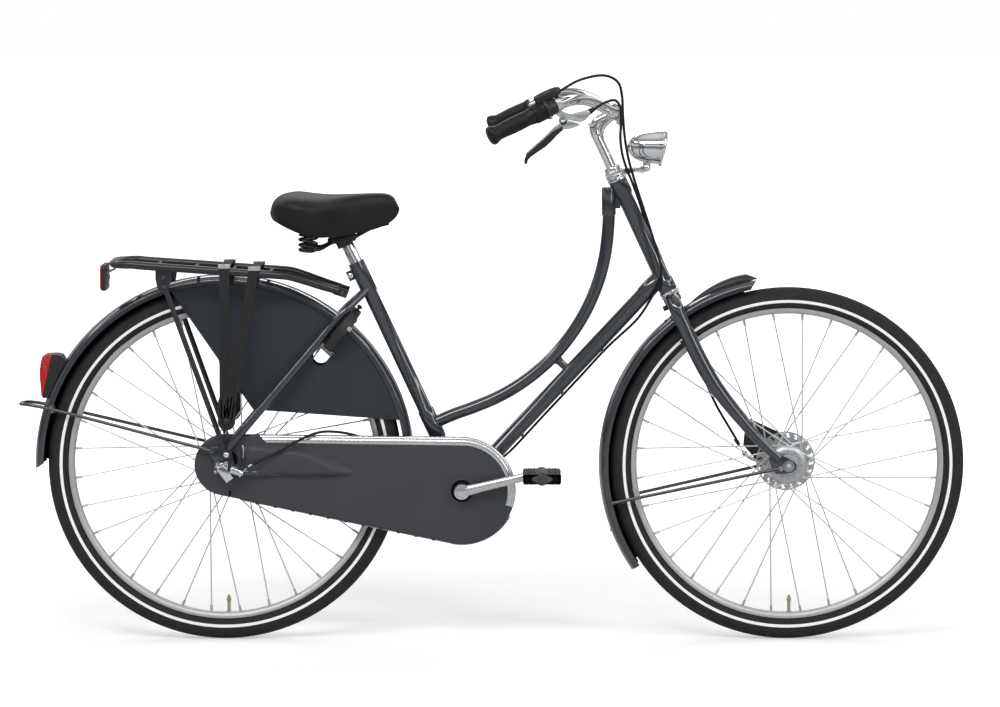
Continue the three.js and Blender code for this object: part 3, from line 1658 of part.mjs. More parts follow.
// Handlebar: one tube from end to end through the stem's clamp
function makeHandlebar() {
  const start = alongGrip(straightLength);
  const clampSide = clampHalf + overrun;
  const corners = [
    [clampX, -clampSide, clampZ],
    ...barShares.map(([x, y, z]) => [
      clampX + (start[0] - clampX) * x,
      -clampSide + (start[1] + clampSide) * y,
      clampZ + (start[2] - clampZ) * z,
    ]),
    start,
  ].map((point) => new THREE.Vector3(...point));
  const curve = new THREE.CatmullRomCurve3(corners, false, "centripetal");
  const bend = curve.getSpacedPoints(8).map((point) => point.toArray());
  const right = [...bend, alongGrip(2 * bracketThickness)];
  const left = right.map(([x, y, z]) => [x, -y, z]).reverse();
  return bentBar([...left, ...right], barRadius);
}

// A grip with a flared closed end, bored for the bar
function makeGrip() {
  const flare = alongGrip(gripLength * 0.12);
  const outside = join(
    rod(gripEnd, flare, gripRadius * 1.2, 10, gripRadius),
    rod(flare, alongGrip(gripLength), gripRadius, 10),
  );
  const boreEnd = alongGrip(2 * bracketThickness - clearance);
  return cut(outside, rod(boreEnd, alongGrip(gripLength + overrun), boreFor(barRadius, 8), 8));
}

// The ribbed ring of the gear changer that turns on the bar
function makeTwistShifter() {
  const ring = rod(alongGrip(ringStart), alongGrip(ringStart + ringLength), ringRadius, 12);
  const low = alongGrip(ringStart - overrun);
  const high = alongGrip(ringStart + ringLength + overrun);
  return cut(ring, rod(low, high, boreFor(barRadius, 12), 12));
}

// The fixed housing of the gear changer with its window box and cable outlet
function makeShifterHousing() {
  const start = alongGrip(housingStart);
  const end = alongGrip(housingStart + housingLength);
  const middle = between(start, end, 0.5);
  const lean = THREE.MathUtils.radToDeg(Math.atan2(gripInnerZ - gripEndZ, gripInnerX - gripEndX));
  const boxZ = middle[2] + ringRadius * 1.5;
  const boxSize = [1.5 * housingLength, 2 * barRadius, ringRadius];
  const boxX = middle[0] - barRadius * 0.6;
  const box = block([boxX, middle[1], boxZ], boxSize, lean);
  const neckZ = (middle[2] + boxZ) / 2;
  const neck = block([boxX, middle[1], neckZ], [barRadius * 0.7, 2 * barRadius, boxZ - middle[2]]);
  const whole = join(
    rod(start, end, ringRadius * 0.9, 12),
    box,
    neck,
    rod([middle[0], middle[1], boxZ], shifterOutlet, 2 * cableRadius, 8),
  );
  const low = alongGrip(housingStart - overrun);
  const high = alongGrip(housingStart + housingLength + overrun);
  return cut(whole, rod(low, high, boreFor(barRadius, 12), 12));
}

// The clamp of the brake lever, its two ears and the barrel that the brake cable leaves by
function makeLeverBracket() {
  const start = alongGrip(housingStart + housingLength + clearance);
  const end = alongGrip(housingStart + housingLength + clearance + leverClampLength);
  const middle = between(start, end, 0.5);
  const earHalf = leverThickness / 2 + clearance;
  const pinHalf = earHalf + bracketThickness;
  const seat = [middle[0] + ringRadius / 2, -leverPivotY, middle[2] - ringRadius * 0.8];
  const earLength = seat[2] - leverPivotZ;
  const ears = [-1, 1].map((side) => {
    const y = -leverPivotY + side * (earHalf + bracketThickness / 2);
    return join(
      block([leverPivotX, y, seat[2] - earLength / 2], [leverClampLength, bracketThickness, earLength]),
      disc(leverPivotX, leverPivotZ, leverEyeRadius, y - bracketThickness / 2, y + bracketThickness / 2, 8),
    );
  });
  const whole = join(
    rod(start, end, ringRadius * 0.76, 12),
    block(seat, [leverClampLength * 1.2, 2 * pinHalf, leverEyeRadius]),
    ...ears,
    disc(leverPivotX, leverPivotZ, lampPinRadius, -leverPivotY - pinHalf, -leverPivotY + pinHalf, 8),
    rod(seat, brakeOutlet, 2 * cableRadius, 6, 1.4 * cableRadius),
  );
  const low = alongGrip(housingStart + housingLength - overrun);
  const high = alongGrip(straightLength);
  return cut(
    whole,
    rod(low, high, boreFor(barRadius, 12), 12),
    rod(alongGrip(housingStart), start, 3 * ringRadius, 12),
  );
}

// The brake lever, from its eye between the ears to its ball end
const leverShares = [
  [0, 0],
  [0.06, 0.22],
  [0.22, 0.42],
  [0.48, 0.62],
  [0.78, 0.82],
  [1, 1],
];

function makeBrakeLever() {
  const points = leverShares.map(([x, z]) => [
    leverPivotX + (leverTipX - leverPivotX) * x,
    -leverPivotY,
    leverPivotZ + (leverTipZ - leverPivotZ) * z,
  ]);
  const eye = disc(
    leverPivotX,
    leverPivotZ,
    leverEyeRadius,
    -leverPivotY - leverThickness / 2,
    -leverPivotY + leverThickness / 2,
    8,
  );
  const reach = leverThickness;
  const blade = bentBar(points, leverThickness / 2, 6);
  const tip = ball(points[points.length - 1], leverThickness * 0.8);
  const bore = boreFor(lampPinRadius, 8);
  return cut(
    join(eye, blade, tip),
    disc(leverPivotX, leverPivotZ, bore, -leverPivotY - reach, -leverPivotY + reach, 8),
  );
}

// Front mudguard with the ridge of its ornament on top and two holes for its stay
function makeFrontMudguard() {
  const guard = mudguard(frontGuardRadius, frontGuardAngles).translate(wheelbase, 0, axleZ);
  const [from, to] = crestAngles;
  const ridge = arcPoints(wheelbase, axleZ, frontGuardRadius + crestHeight, from, to, 3);
  const base = arcPoints(wheelbase, axleZ, frontGuardRadius - guardWall, to, from, 3);
  const crest = plate([...ridge, ...base], -crestWidth / 2, crestWidth / 2);
  const [x, z] = frontStayCrossing();
  const holes = disc(x, z, guardStayRadius + clearance, -2 * guardHalfWidth, 2 * guardHalfWidth, 8);
  return cut(join(guard, crest), holes);
}

// Where the front stay crosses inside the mudguard, clear of the tyre
function frontStayCrossing() {
  return onCircle(wheelbase, axleZ, frontGuardRadius - frontStayDrop, frontStayAngle);
}

// One bent wire from one end of the fork through the front mudguard to the other end of the fork
function makeFrontMudguardStay() {
  const out = frontDropoutInner + frontDropoutThickness + clearance + guardStayRadius;
  const eye = [wheelbase - 2 * bladeRadius, -out, axleZ - bladeRadius / 2];
  const [x, z] = frontStayCrossing();
  const corner = [x, -tailStayOffset, z];
  const ease = towards(corner, [x, 0, z], 0.7 * guardStayRadius);
  const right = [eye, towards(corner, eye, 2 * guardStayRadius), ease];
  const left = right.map(([px, py, pz]) => [px, -py, pz]).reverse();
  const washerLow = -out - guardStayRadius;
  const washer = disc(eye[0], eye[2], 2 * guardStayRadius, washerLow, -out + guardStayRadius, 8);
  return join(bentBar([...right, ...left], guardStayRadius, 6), washer, mirrored(washer));
}

// Front axle with its locknuts and outer nuts
function makeFrontAxle() {
  const nutInner = frontDropoutInner + frontDropoutThickness + clearance;
  const nutOuter = nutInner + nutThickness;
  const locknutEnd = frontDropoutInner - clearance;
  return join(
    disc(wheelbase, axleZ, axleRadius, -nutOuter, nutOuter, 8),
    disc(wheelbase, axleZ, nutRadius, -nutOuter, -nutInner, 6),
    disc(wheelbase, axleZ, nutRadius, nutInner, nutOuter, 6),
    disc(wheelbase, axleZ, nutRadius, -locknutEnd, -frontHubEnd - clearance, 8),
    disc(wheelbase, axleZ, nutRadius, drumOuter + clearance, locknutEnd, 8),
  );
}

// The fixed plate of the front roller brake with its arm to the left blade and its cable lever
function makeFrontBrakePlate() {
  const armHigh = drumInner + bracketThickness;
  const lean = Math.atan2(brakeArmZ - axleZ, brakeArmX - wheelbase);
  const across = [-Math.sin(lean), Math.cos(lean)];
  const wide = drumRadius * 0.6;
  const narrow = drumRadius * 0.14;
  const arm = plate(
    [
      [wheelbase + across[0] * wide, axleZ + across[1] * wide],
      [brakeArmX + across[0] * narrow, brakeArmZ + across[1] * narrow],
      [brakeArmX - across[0] * narrow, brakeArmZ - across[1] * narrow],
      [wheelbase - across[0] * wide, axleZ - across[1] * wide],
    ],
    drumInner,
    armHigh,
  );
  const plateEdge = [wheelbase - drumRadius * 0.7, drumOuter - bracketThickness, axleZ];
  const leverEnd = [brakeLeverX, brakeLeverY, brakeLeverZ];
  const whole = join(
    disc(wheelbase, axleZ, drumRadius, drumInner, drumOuter, 16),
    arm,
    rod(plateEdge, leverEnd, bracketThickness, 6),
    ball(leverEnd, bracketThickness * 1.6, 8),
  );
  const bore = boreFor(axleRadius, 12);
  return cut(whole, disc(wheelbase, axleZ, bore, drumInner - overrun, drumOuter + overrun, 12));
}

// Shares of the lamp's length and radius from its rear tip to its lens
const lampShares = [
  [0, 0.12],
  [0.06, 0.42],
  [0.2, 0.68],
  [0.45, 0.88],
  [0.75, 0.98],
  [0.9, 1],
  [1, 0.98],
];

// Headlamp: a bullet shell with a lug below it on the bracket's pin
function makeHeadlamp() {
  const profile = lampShares.map(([x, r]) => new THREE.Vector2(r * lampRadius, x * lampLength));
  const shell = new THREE.LatheGeometry(
    [new THREE.Vector2(0, 0), ...profile, new THREE.Vector2(0, lampLength)],
    14,
  );
  shell.rotateZ(-Math.PI / 2).translate(lampRearX, 0, lampZ);
  const lug = block(
    [lampPivotX, 0, (lampPivotZ + lampZ) / 2],
    [2 * lampLugRadius, 2 * lampLugHalf, lampZ - lampPivotZ],
  );
  const eye = disc(lampPivotX, lampPivotZ, lampLugRadius, -lampLugHalf, lampLugHalf, 12);
  const reach = lampLugHalf + overrun;
  const pin = disc(lampPivotX, lampPivotZ, boreFor(lampPinRadius, 8), -reach, reach, 8);
  return cut(join(shell, lug, eye), pin);
}

// Gear cable from the changer's housing round the head tube, along the down tube and over the chain case
const shiftCableRoute = [
  shifterOutlet,
  [713, -226, 1139],
  [763, -200, 1147],
  [789, -180, 1133],
  [797, -165, 1108],
  [800, -140, 1066],
  [805, -110, 1019],
  [814, -80, 974],
  [825, -60, 937],
  [839, -45, 894],
  [858, -32, 837],
  [874, -28, 784],
  [881, -26, 756],
  [877, -21, 727],
  [859, -15, 690],
  [834, 0, 651],
  [775, 0, 595],
  [716, 0, 531],
  [645, 0, 455],
  [576, 0, 381],
  [561, -9, 370],
  [545, -17, 361],
  [525, -26, 352],
  [500, -32, 350],
  [450, -33, 356],
  [400, -32, 372],
  [330, -32, 394],
  [285, -32, 416],
  [256, -35, 428],
  [228, -44, 430],
  [191, -58, 428],
  [157, -65, 416],
  [111, -71, 389],
  [52, -80, 361],
];

// Brake cable from the lever's barrel in front of the head tube and down the left fork blade
const brakeCableRoute = [
  brakeOutlet,
  [745, -220, 1094],
  [765, -205, 1098],
  [783, -190, 1098],
  [793, -175, 1086],
  [796, -140, 1052],
  [796, -105, 1019],
  [801, -75, 986],
  [810, -50, 958],
  [822, -30, 929],
  [836, -8, 892],
  [850, 16, 850],
  [880, 44, 780],
  [912, 66, 700],
  [934, 68, 635],
  [962, 67, 578],
  [990, 66, 532],
  [1020, 64, 460],
  [1040, 60, 400],
  [brakeLeverX, brakeLeverY, brakeLeverZ + 2 * bladeRadius],
];

// A cable left short of the fittings that hold it, by a share of its radius at its start
function makeCable(route, steps, startShare) {
  const start = towards(route[0], route[1], startShare * cableRadius);
  const end = towards(route[route.length - 1], route[route.length - 2], cableRadius);
  return tube([start, ...route.slice(1, -1), end], cableRadius, steps, 6);
}

// Every separate piece by name, its material and where its own origin stands
const atRear = [0, 0, axleZ];
const atFront = [wheelbase, 0, axleZ];
const atSprocket = [0, -chainline, axleZ];
const atChainwheel = [bracketX, -chainline, bracketZ];
const origin = [0, 0, 0];
const pedalRight = onCircle(bracketX, bracketZ, crankLength, crankAngle);
const pedalLeft = onCircle(bracketX, bracketZ, crankLength, crankAngle + 180);
const rightBossInner = chainline - sprocketThickness;
const leftBossInner = shellHalfWidth + overrun;
const coatGuard = makeCoatGuard();
const grip = makeGrip();
const pieces = [
  ["head_tube", makeHeadTube(), paint, origin],
  ["down_tube", makeDownTube(), paint, origin],
  ["curved_top_tube", makeCurvedTopTube(), paint, origin],
  ["seat_tube", makeSeatTube(), paint, origin],
  ["chain_stays", makeChainStays(), paint, origin],
  ["seat_stays", makeSeatStays(), paint, origin],
  ["rear_mudguard", makeRearMudguard(), satinBlack, origin],
  ["rear_mudguard_stay", makeRearMudguardStay(), satinBlack, origin],
  ["coat_guard_right", coatGuard, mattCloth, origin],
  ["coat_guard_left", mirrored(coatGuard), mattCloth, origin],
  ["rear_carrier", makeCarrier(), paint, origin],
  ["rear_reflector", makeReflector(), redPlastic, origin],
  ["tail_light", makeTailLight(), redPlastic, origin],
  ["luggage_straps", makeStraps(), strapRubber, origin],
  ["lock_body", makeLockBody(), blackPlastic, origin],
  ["lock_bolt", makeLockBolt(), steel, origin],
  ["chain_case_outer", makeCaseOuter(), satinBlack, origin],
  ["chain_case_inner", makeCaseInner(), satinBlack, origin],
  ["chain", makeChain(), steel, origin],
  ["rear_axle", makeRearAxle(), steel, origin],
  ["bell_crank_unit", makeChanger(), alloy, origin],
  ["shift_cable", makeCable(shiftCableRoute, 46, 1), blackRubber, origin],
  ["rear_tyre", makeTyre(), blackRubber, atRear],
  ["rear_rim", makeRim(), alloy, atRear],
  ["rear_spokes_right", makeSpokes(-1), steel, atRear],
  ["rear_spokes_left", makeSpokes(1), steel, atRear],
  ["rear_hub", makeRearHub(), alloy, atRear],
  ["rear_sprocket", toothed(sprocketTeeth, boreFor(hubNeckRadius, 14)), steel, atSprocket],
  ["crank_axle", makeSpindle(), steel, bracket],
  ["crank_right", makeCrank(-1, rightBossInner), alloy, bracket],
  ["chainwheel", toothed(chainwheelTeeth, boreFor(crankBossRadius, 14)), steel, atChainwheel],
  ["crank_left", makeCrank(1, leftBossInner), alloy, bracket],
  ["pedal_right", makePedal(-1), blackPlastic, [pedalRight[0], 0, pedalRight[1]]],
  ["pedal_left", makePedal(1), blackPlastic, [pedalLeft[0], 0, pedalLeft[1]]],
  ["seat_post", makeSeatPost(), alloy, origin],
  ["saddle_frame", makeSaddleFrame(), steel, origin],
  ["saddle_spring_right", makeSaddleSpring(-1), chrome, origin],
  ["saddle_spring_left", makeSaddleSpring(1), chrome, origin],
  ["saddle_cover", makeSaddleCover(), leather, origin],
  ["fork", makeFork(), paint, origin],
  ["headset_lamp_bracket", makeHeadset(), chrome, origin],
  ["stem", makeStem(), alloy, origin],
  ["handlebar", makeHandlebar(), alloy, origin],
  ["grip_right", grip, blackRubber, origin],
  ["grip_left", mirrored(grip), blackRubber, origin],
  ["twist_shifter", makeTwistShifter(), blackRubber, origin],
  ["shifter_housing", makeShifterHousing(), blackPlastic, origin],
  ["brake_lever_bracket", makeLeverBracket(), alloy, origin],
  ["brake_lever", makeBrakeLever(), alloy, origin],
  ["front_mudguard", makeFrontMudguard(), satinBlack, origin],
  ["front_mudguard_stay", makeFrontMudguardStay(), satinBlack, origin],
  ["front_axle", makeFrontAxle(), steel, origin],
  ["front_brake_plate", makeFrontBrakePlate(), alloy, origin],
  ["brake_cable", makeCable(brakeCableRoute, 30, 0.5), blackRubber, origin],
  ["headlamp", makeHeadlamp(), chrome, origin],
  ["front_tyre", makeTyre(), blackRubber, atFront],
  ["front_rim", makeRim(), alloy, atFront],
  ["front_spokes_right", makeSpokes(-1), steel, atFront],
  ["front_spokes_left", makeSpokes(1), steel, atFront],
  ["front_hub", makeFrontHub(), alloy, atFront],
];

const bike = new THREE.Group();
for (const [name, geometry, material, place] of pieces) {
  const mesh = new THREE.Mesh(join(geometry), material);
  mesh.name = name;
  mesh.position.set(...place);
  bike.add(mesh);
}

// Centre the bike over the origin by its foremost and rearmost points
const foremost = wheelbase + tyreRadius;
const rearmost = -tailLoopX - guardStayRadius;
bike.position.x = -(foremost + rearmost) / 2;

export default bike;
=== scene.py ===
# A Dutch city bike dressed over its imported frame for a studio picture.
# Lengths are millimetres in the bike's own layout: X forward from the rear axle, Y to the left, Z up.
import math

import bmesh
import bpy
from mathutils import Matrix, Vector


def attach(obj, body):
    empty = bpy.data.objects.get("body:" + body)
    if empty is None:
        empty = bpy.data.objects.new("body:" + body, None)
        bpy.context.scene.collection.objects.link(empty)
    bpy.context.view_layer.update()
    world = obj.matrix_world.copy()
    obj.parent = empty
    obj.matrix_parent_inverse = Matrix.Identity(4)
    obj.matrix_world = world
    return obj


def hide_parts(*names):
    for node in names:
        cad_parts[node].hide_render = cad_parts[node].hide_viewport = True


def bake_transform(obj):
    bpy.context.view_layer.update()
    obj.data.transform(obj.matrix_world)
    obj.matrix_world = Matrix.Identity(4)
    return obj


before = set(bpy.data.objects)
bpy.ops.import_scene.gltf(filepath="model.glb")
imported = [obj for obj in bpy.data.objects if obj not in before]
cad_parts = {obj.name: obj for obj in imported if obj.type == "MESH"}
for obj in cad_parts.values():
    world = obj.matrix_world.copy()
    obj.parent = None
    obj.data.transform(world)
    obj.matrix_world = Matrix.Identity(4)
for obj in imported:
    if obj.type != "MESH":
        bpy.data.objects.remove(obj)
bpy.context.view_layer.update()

# Layout
MM = 0.001
MIDDLE = 541.1
WHEELBASE = 1138
AXLE_Z = 358
CLEAR = 0.3

# Wheels
TYRE_SECTION = 23.5
TYRE_CROWN = 334.5
STRIPE = (92.9, 107.3)
RIM_EDGE = 316.3
RIM_INNER = 304.5
RIM_HALF = 12.5
SPOKE = 1.5
HOLE_RADIUS = 34.4
FLANGE = 38.5
FLANGE_THICK = 3
SIDE_SPOKES = 16

# Frame points
REAR_AXLE = (0, 0, AXLE_Z)
FRONT_AXLE = (WHEELBASE, 0, AXLE_Z)
BRACKET = (480, 0, 308)
SEAT_TOP = (266, 0, 766)
HEAD_LOW = (899, 0, 704)
HEAD_HIGH = (794, 0, 930)
DOWN_TOP_Z = 739
CURVE_JOINT_Z = 438
CURVED_TOP = (776, 0, 917)
BAR_CLAMP = (786, 0, 1069)
LAMP_REAR = (813, 0, 998)
LAMP_LENGTH = 76
LAMP_RADIUS = 34
TUBE = 15.9
LUG = 18.6
CRANK_LENGTH = 165
LOCK_RADIUS = 350
CABLE_RADIUS = 2.7

# Mudguards
GUARD_HALF = 29
GUARD_WALL = 1.2
SKIRT = 18
REAR_GUARD = 383
FRONT_GUARD = 380.5
COAT_GUARD = 368

# Camera
FOCAL_PIXELS = 4165
PICTURE_WIDTH = 1000
SENSOR_WIDTH = 36
CAMERA_PLACE = (0.0157, -8.385, 1.356)
CAMERA_TILT = 5.281


def between(a, b, share):
    """The point a share of the way from one point to another."""
    return Vector(a) + (Vector(b) - Vector(a)) * share


def towards(a, b, length):
    """The point at a length from the first point towards the second."""
    return between(a, b, length / (Vector(b) - Vector(a)).length)


def on_circle(x, z, radius, degrees, y=0.0):
    """A point on a circle about a line across the bike."""
    angle = math.radians(degrees)
    return Vector((x + radius * math.cos(angle), y, z + radius * math.sin(angle)))


def smooth_path(points, per=6):
    """Points along a smooth curve through the given ones."""
    spots = [Vector(p) for p in points]
    spots = [spots[0] * 2 - spots[1], *spots, spots[-1] * 2 - spots[-2]]
    path = []
    for i in range(1, len(spots) - 2):
        p0, p1, p2, p3 = spots[i - 1 : i + 3]
        d0, d1, d2 = (math.sqrt((b - a).length) or 1 for a, b in ((p0, p1), (p1, p2), (p2, p3)))
        t1 = ((p1 - p0) / d0 - (p2 - p0) / (d0 + d1) + (p2 - p1) / d1) * d1
        t2 = ((p2 - p1) / d1 - (p3 - p1) / (d1 + d2) + (p3 - p2) / d2) * d1
        for k in range(per):
            t = k / per
            path.append(
                p1 + t1 * t + (3 * (p2 - p1) - 2 * t1 - t2) * t**2 + (2 * (p1 - p2) + t1 + t2) * t**3
            )
    return [*path, spots[-2]]


class Form:
    """Corners and faces of one piece, each face with the number of its material."""

    def __init__(self):
        self.verts, self.faces, self.marks = [], [], []

    def add(self, verts, faces, marks):
        base = len(self.verts)
        self.verts += [Vector(v) for v in verts]
        self.faces += [[i + base for i in face] for face in faces]
        self.marks += marks
        return self

    def join(self, other):
        return self.add(other.verts, other.faces, other.marks)

    def mirrored(self):
        return Form().add([(x, -y, z) for x, y, z in self.verts], self.faces, self.marks)

    def both(self):
        """The same form on both sides of the bike."""
        return self.join(self.mirrored())


def mirrored_path(points):
    """The same points on the other side of the bike, from the last back to the first."""
    return [Vector((p.x, -p.y, p.z)) for p in reversed(points)]


def skin(rings, mark=0, loop=False):
    """Faces over rings of corners that have the same count."""
    verts = [v for ring in rings for v in ring]
    around = len(rings[0])
    faces = []
    marks = []
    last = len(rings) - (0 if loop else 1)
    for row in range(last):
        a = row * around
        b = ((row + 1) % len(rings)) * around
        for i in range(around):
            j = (i + 1) % around
            faces.append([a + i, a + j, b + j, b + i])
            marks.append(mark[row] if isinstance(mark, list) else mark)
    if not loop:
        end = (len(rings) - 1) * around
        faces += [list(range(around)), list(range(end + around - 1, end - 1, -1))]
        first = mark[0] if isinstance(mark, list) else mark
        marks += [first, first]
    return verts, faces, marks


def put(form, made):
    """Adds corners and faces to a form."""
    form.add(*made)


def sweep(points, radius, sides=20, flat=1.0, mark=0, up=(0, 0, 1), ends=0.0):
    """A bar along points, its radius one length or one for each point, flattened across."""
    spots = [Vector(p) for p in points]
    radii = list(radius) if hasattr(radius, "__len__") else [radius] * len(spots)
    if ends:
        spots, radii = rounded_ends(spots, radii, ends)
    normal = Vector(up)
    rings = []
    for i, spot in enumerate(spots):
        along = (spots[min(i + 1, len(spots) - 1)] - spots[max(i - 1, 0)]).normalized()
        normal = (normal - along * normal.dot(along)).normalized()
        across = along.cross(normal)
        ring = []
        for k in range(sides):
            angle = 2 * math.pi * k / sides
            ring.append(
                spot + normal * (radii[i] * math.cos(angle)) + across * (radii[i] * flat * math.sin(angle))
            )
        rings.append(ring)
    return skin(rings, mark=mark)


def rounded_ends(spots, radii, share):
    """A bar's points and radii with both ends drawn in to a dome."""
    steps = ((0.06, 0.35), (0.3, 0.75), (0.62, 0.95))
    start, end = [], []
    for along, wide in steps:
        start.append((towards(spots[0], spots[1], radii[0] * share * along), radii[0] * wide))
        end.append((towards(spots[-1], spots[-2], radii[-1] * share * along), radii[-1] * wide))
    first = towards(spots[0], spots[1], radii[0] * share)
    last = towards(spots[-1], spots[-2], radii[-1] * share)
    points = [p for p, _ in start] + [first, *spots[1:-1], last] + [p for p, _ in reversed(end)]
    widths = [r for _, r in start] + [*radii] + [r for _, r in reversed(end)]
    return points, widths


def turn(profile, origin, axis=(0, 1, 0), segments=48, mark=0, loop=False):
    """A profile of radius and length along an axis, turned about it."""
    along = Vector(axis).normalized()
    side = Vector((1, 0, 0)) if abs(along.x) < 0.9 else Vector((0, 0, 1))
    side = (side - along * side.dot(along)).normalized()
    other = along.cross(side)
    rings = []
    for radius, length in profile:
        ring = []
        for k in range(segments):
            angle = 2 * math.pi * k / segments
            ring.append(
                Vector(origin) + along * length + (side * math.cos(angle) + other * math.sin(angle)) * radius
            )
        rings.append(ring)
    return skin(rings, mark=mark, loop=loop)


def pin(a, b, radius, sides=24, mark=0, soften=0.12):
    """A straight round bar between two points with its edges eased."""
    a, b = Vector(a), Vector(b)
    length = (b - a).length
    ease = min(radius * soften, length / 4)
    profile = [(radius - ease, 0), (radius, ease), (radius, length - ease), (radius - ease, length)]
    return turn(profile, a, b - a, sides, mark)


def on_side(side, profile):
    """A profile of radius and place across, on the right for -1 and on the left for 1."""
    return [(radius, side * y) for radius, y in profile]


def slab(outline, y_low, y_high, mark=0):
    """A plate with its outline in X and Z."""
    low = [(x, y_low, z) for x, z in outline]
    high = [(x, y_high, z) for x, z in outline]
    return skin([low, high], mark=mark)


def rounded(length, height, ease, x=0, z=0):
    """The outline of an upright rectangle with round corners, from its half length and half height."""
    outline = []
    for sx, sz, start in ((1, 1, 0), (-1, 1, 90), (-1, -1, 180), (1, -1, 270)):
        for k in range(7):
            angle = math.radians(start + 15 * k)
            across = x + sx * (length - ease) + ease * math.cos(angle)
            outline.append((across, z + sz * (height - ease) + ease * math.sin(angle)))
    return outline


def brick(centre, size, degrees=0, mark=0):
    """A box turned about Y; a positive angle lifts its front end."""
    half = [s / 2 for s in size]
    spin = Matrix.Rotation(math.radians(-degrees), 3, "Y")
    corners = [(-1, -1), (1, -1), (1, 1), (-1, 1)]
    rings = [
        [Vector(centre) + spin @ Vector((cx * half[0], y * half[1], cz * half[2])) for cx, cz in corners]
        for y in (-1, 1)
    ]
    return skin(rings, mark=mark)


def orb(centre, radius, sides=20, stretch=(1, 1, 1), mark=0):
    """A ball, or an egg when stretched."""
    rings = []
    for row in range(sides // 2 + 1):
        angle = math.pi * row / (sides // 2)
        wide = max(radius * math.sin(angle), radius * 0.001)
        high = radius * math.cos(angle) * stretch[2]
        ring = []
        for k in range(sides):
            around = 2 * math.pi * k / sides
            spot = (wide * math.cos(around) * stretch[0], wide * math.sin(around) * stretch[1], high)
            ring.append(Vector(centre) + Vector(spot))
        rings.append(ring)
    return skin(rings, mark=mark)


def mesh_of(name, form, materials, angle=38.0):
    """A mesh in metres, its faces turned out and smooth up to an angle."""
    mesh = bpy.data.meshes.new(name)
    build = bmesh.new()
    corners = [build.verts.new(((x - MIDDLE) * MM, y * MM, z * MM)) for x, y, z in form.verts]
    for face, mark in zip(form.faces, form.marks):
        try:
            build.faces.new([corners[i] for i in face]).material_index = mark
        except ValueError:
            continue
    bmesh.ops.remove_doubles(build, verts=build.verts, dist=0.00001)
    bmesh.ops.recalc_face_normals(build, faces=build.faces)
    for face in build.faces:
        face.smooth = True
    build.to_mesh(mesh)
    build.free()
    for item in materials:
        mesh.materials.append(item)
    mesh.set_sharp_from_angle(angle=math.radians(angle))
    return mesh


def piece(name, form, body, materials, slot, stands_for=(), bevel=0.0, angle=38.0, levels=0, carve=None):
    """A finished object that rides on a body and stands for CAD nodes."""
    if not isinstance(materials, (list, tuple)):
        materials = [materials]
    obj = bpy.data.objects.new(name, mesh_of(name, form, materials, angle))
    bpy.context.scene.collection.objects.link(obj)
    if carve:
        cutter = bpy.data.objects.new(name + "_cutter", mesh_of(name + "_cutter", carve, materials))
        bpy.context.scene.collection.objects.link(cutter)
        boolean = obj.modifiers.new("cut", "BOOLEAN")
        boolean.object = cutter
        boolean.solver = "EXACT"
    if bevel:
        edge = obj.modifiers.new("edge", "BEVEL")
        edge.width = bevel * MM
        edge.segments = 3
        edge.limit_method = "ANGLE"
        edge.angle_limit = math.radians(angle)
        edge.use_clamp_overlap = True
        edge.miter_outer = "MITER_ARC"
    if levels:
        soft = obj.modifiers.new("soft", "SUBSURF")
        soft.levels = levels
        soft.render_levels = levels
    if carve or bevel or levels:
        graph = bpy.context.evaluated_depsgraph_get()
        made = bpy.data.meshes.new_from_object(obj.evaluated_get(graph))
        obj.modifiers.clear()
        obj.data = made
        for face in made.polygons:
            face.use_smooth = True
        made.set_sharp_from_angle(angle=math.radians(angle))
    if carve:
        bpy.data.objects.remove(cutter)
    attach(obj, body)
    if stands_for:
        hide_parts(*stands_for)
    return obj


def show(part, form, body, materials, slot, **finish):
    """A piece that stands for the CAD node whose name it takes."""
    return piece(part + "_shown", form, body, materials, slot, [part], **finish)


# Materials, each with its own grain, colour variation and bump


def linear(colour):
    """A written colour as the shader takes it."""
    values = [int(colour[i : i + 2], 16) / 255 for i in (0, 2, 4)]
    return [v / 12.92 if v <= 0.04045 else ((v + 0.055) / 1.055) ** 2.4 for v in values]


def node(tree, kind, inputs=None, **settings):
    """A shader node with its settings, values and links."""
    made = tree.nodes.new("ShaderNode" + kind)
    for key, value in settings.items():
        setattr(made, key, value)
    for key, value in (inputs or {}).items():
        if isinstance(value, bpy.types.NodeSocket):
            tree.links.new(value, made.inputs[key])
        else:
            made.inputs[key].default_value = value
    return made


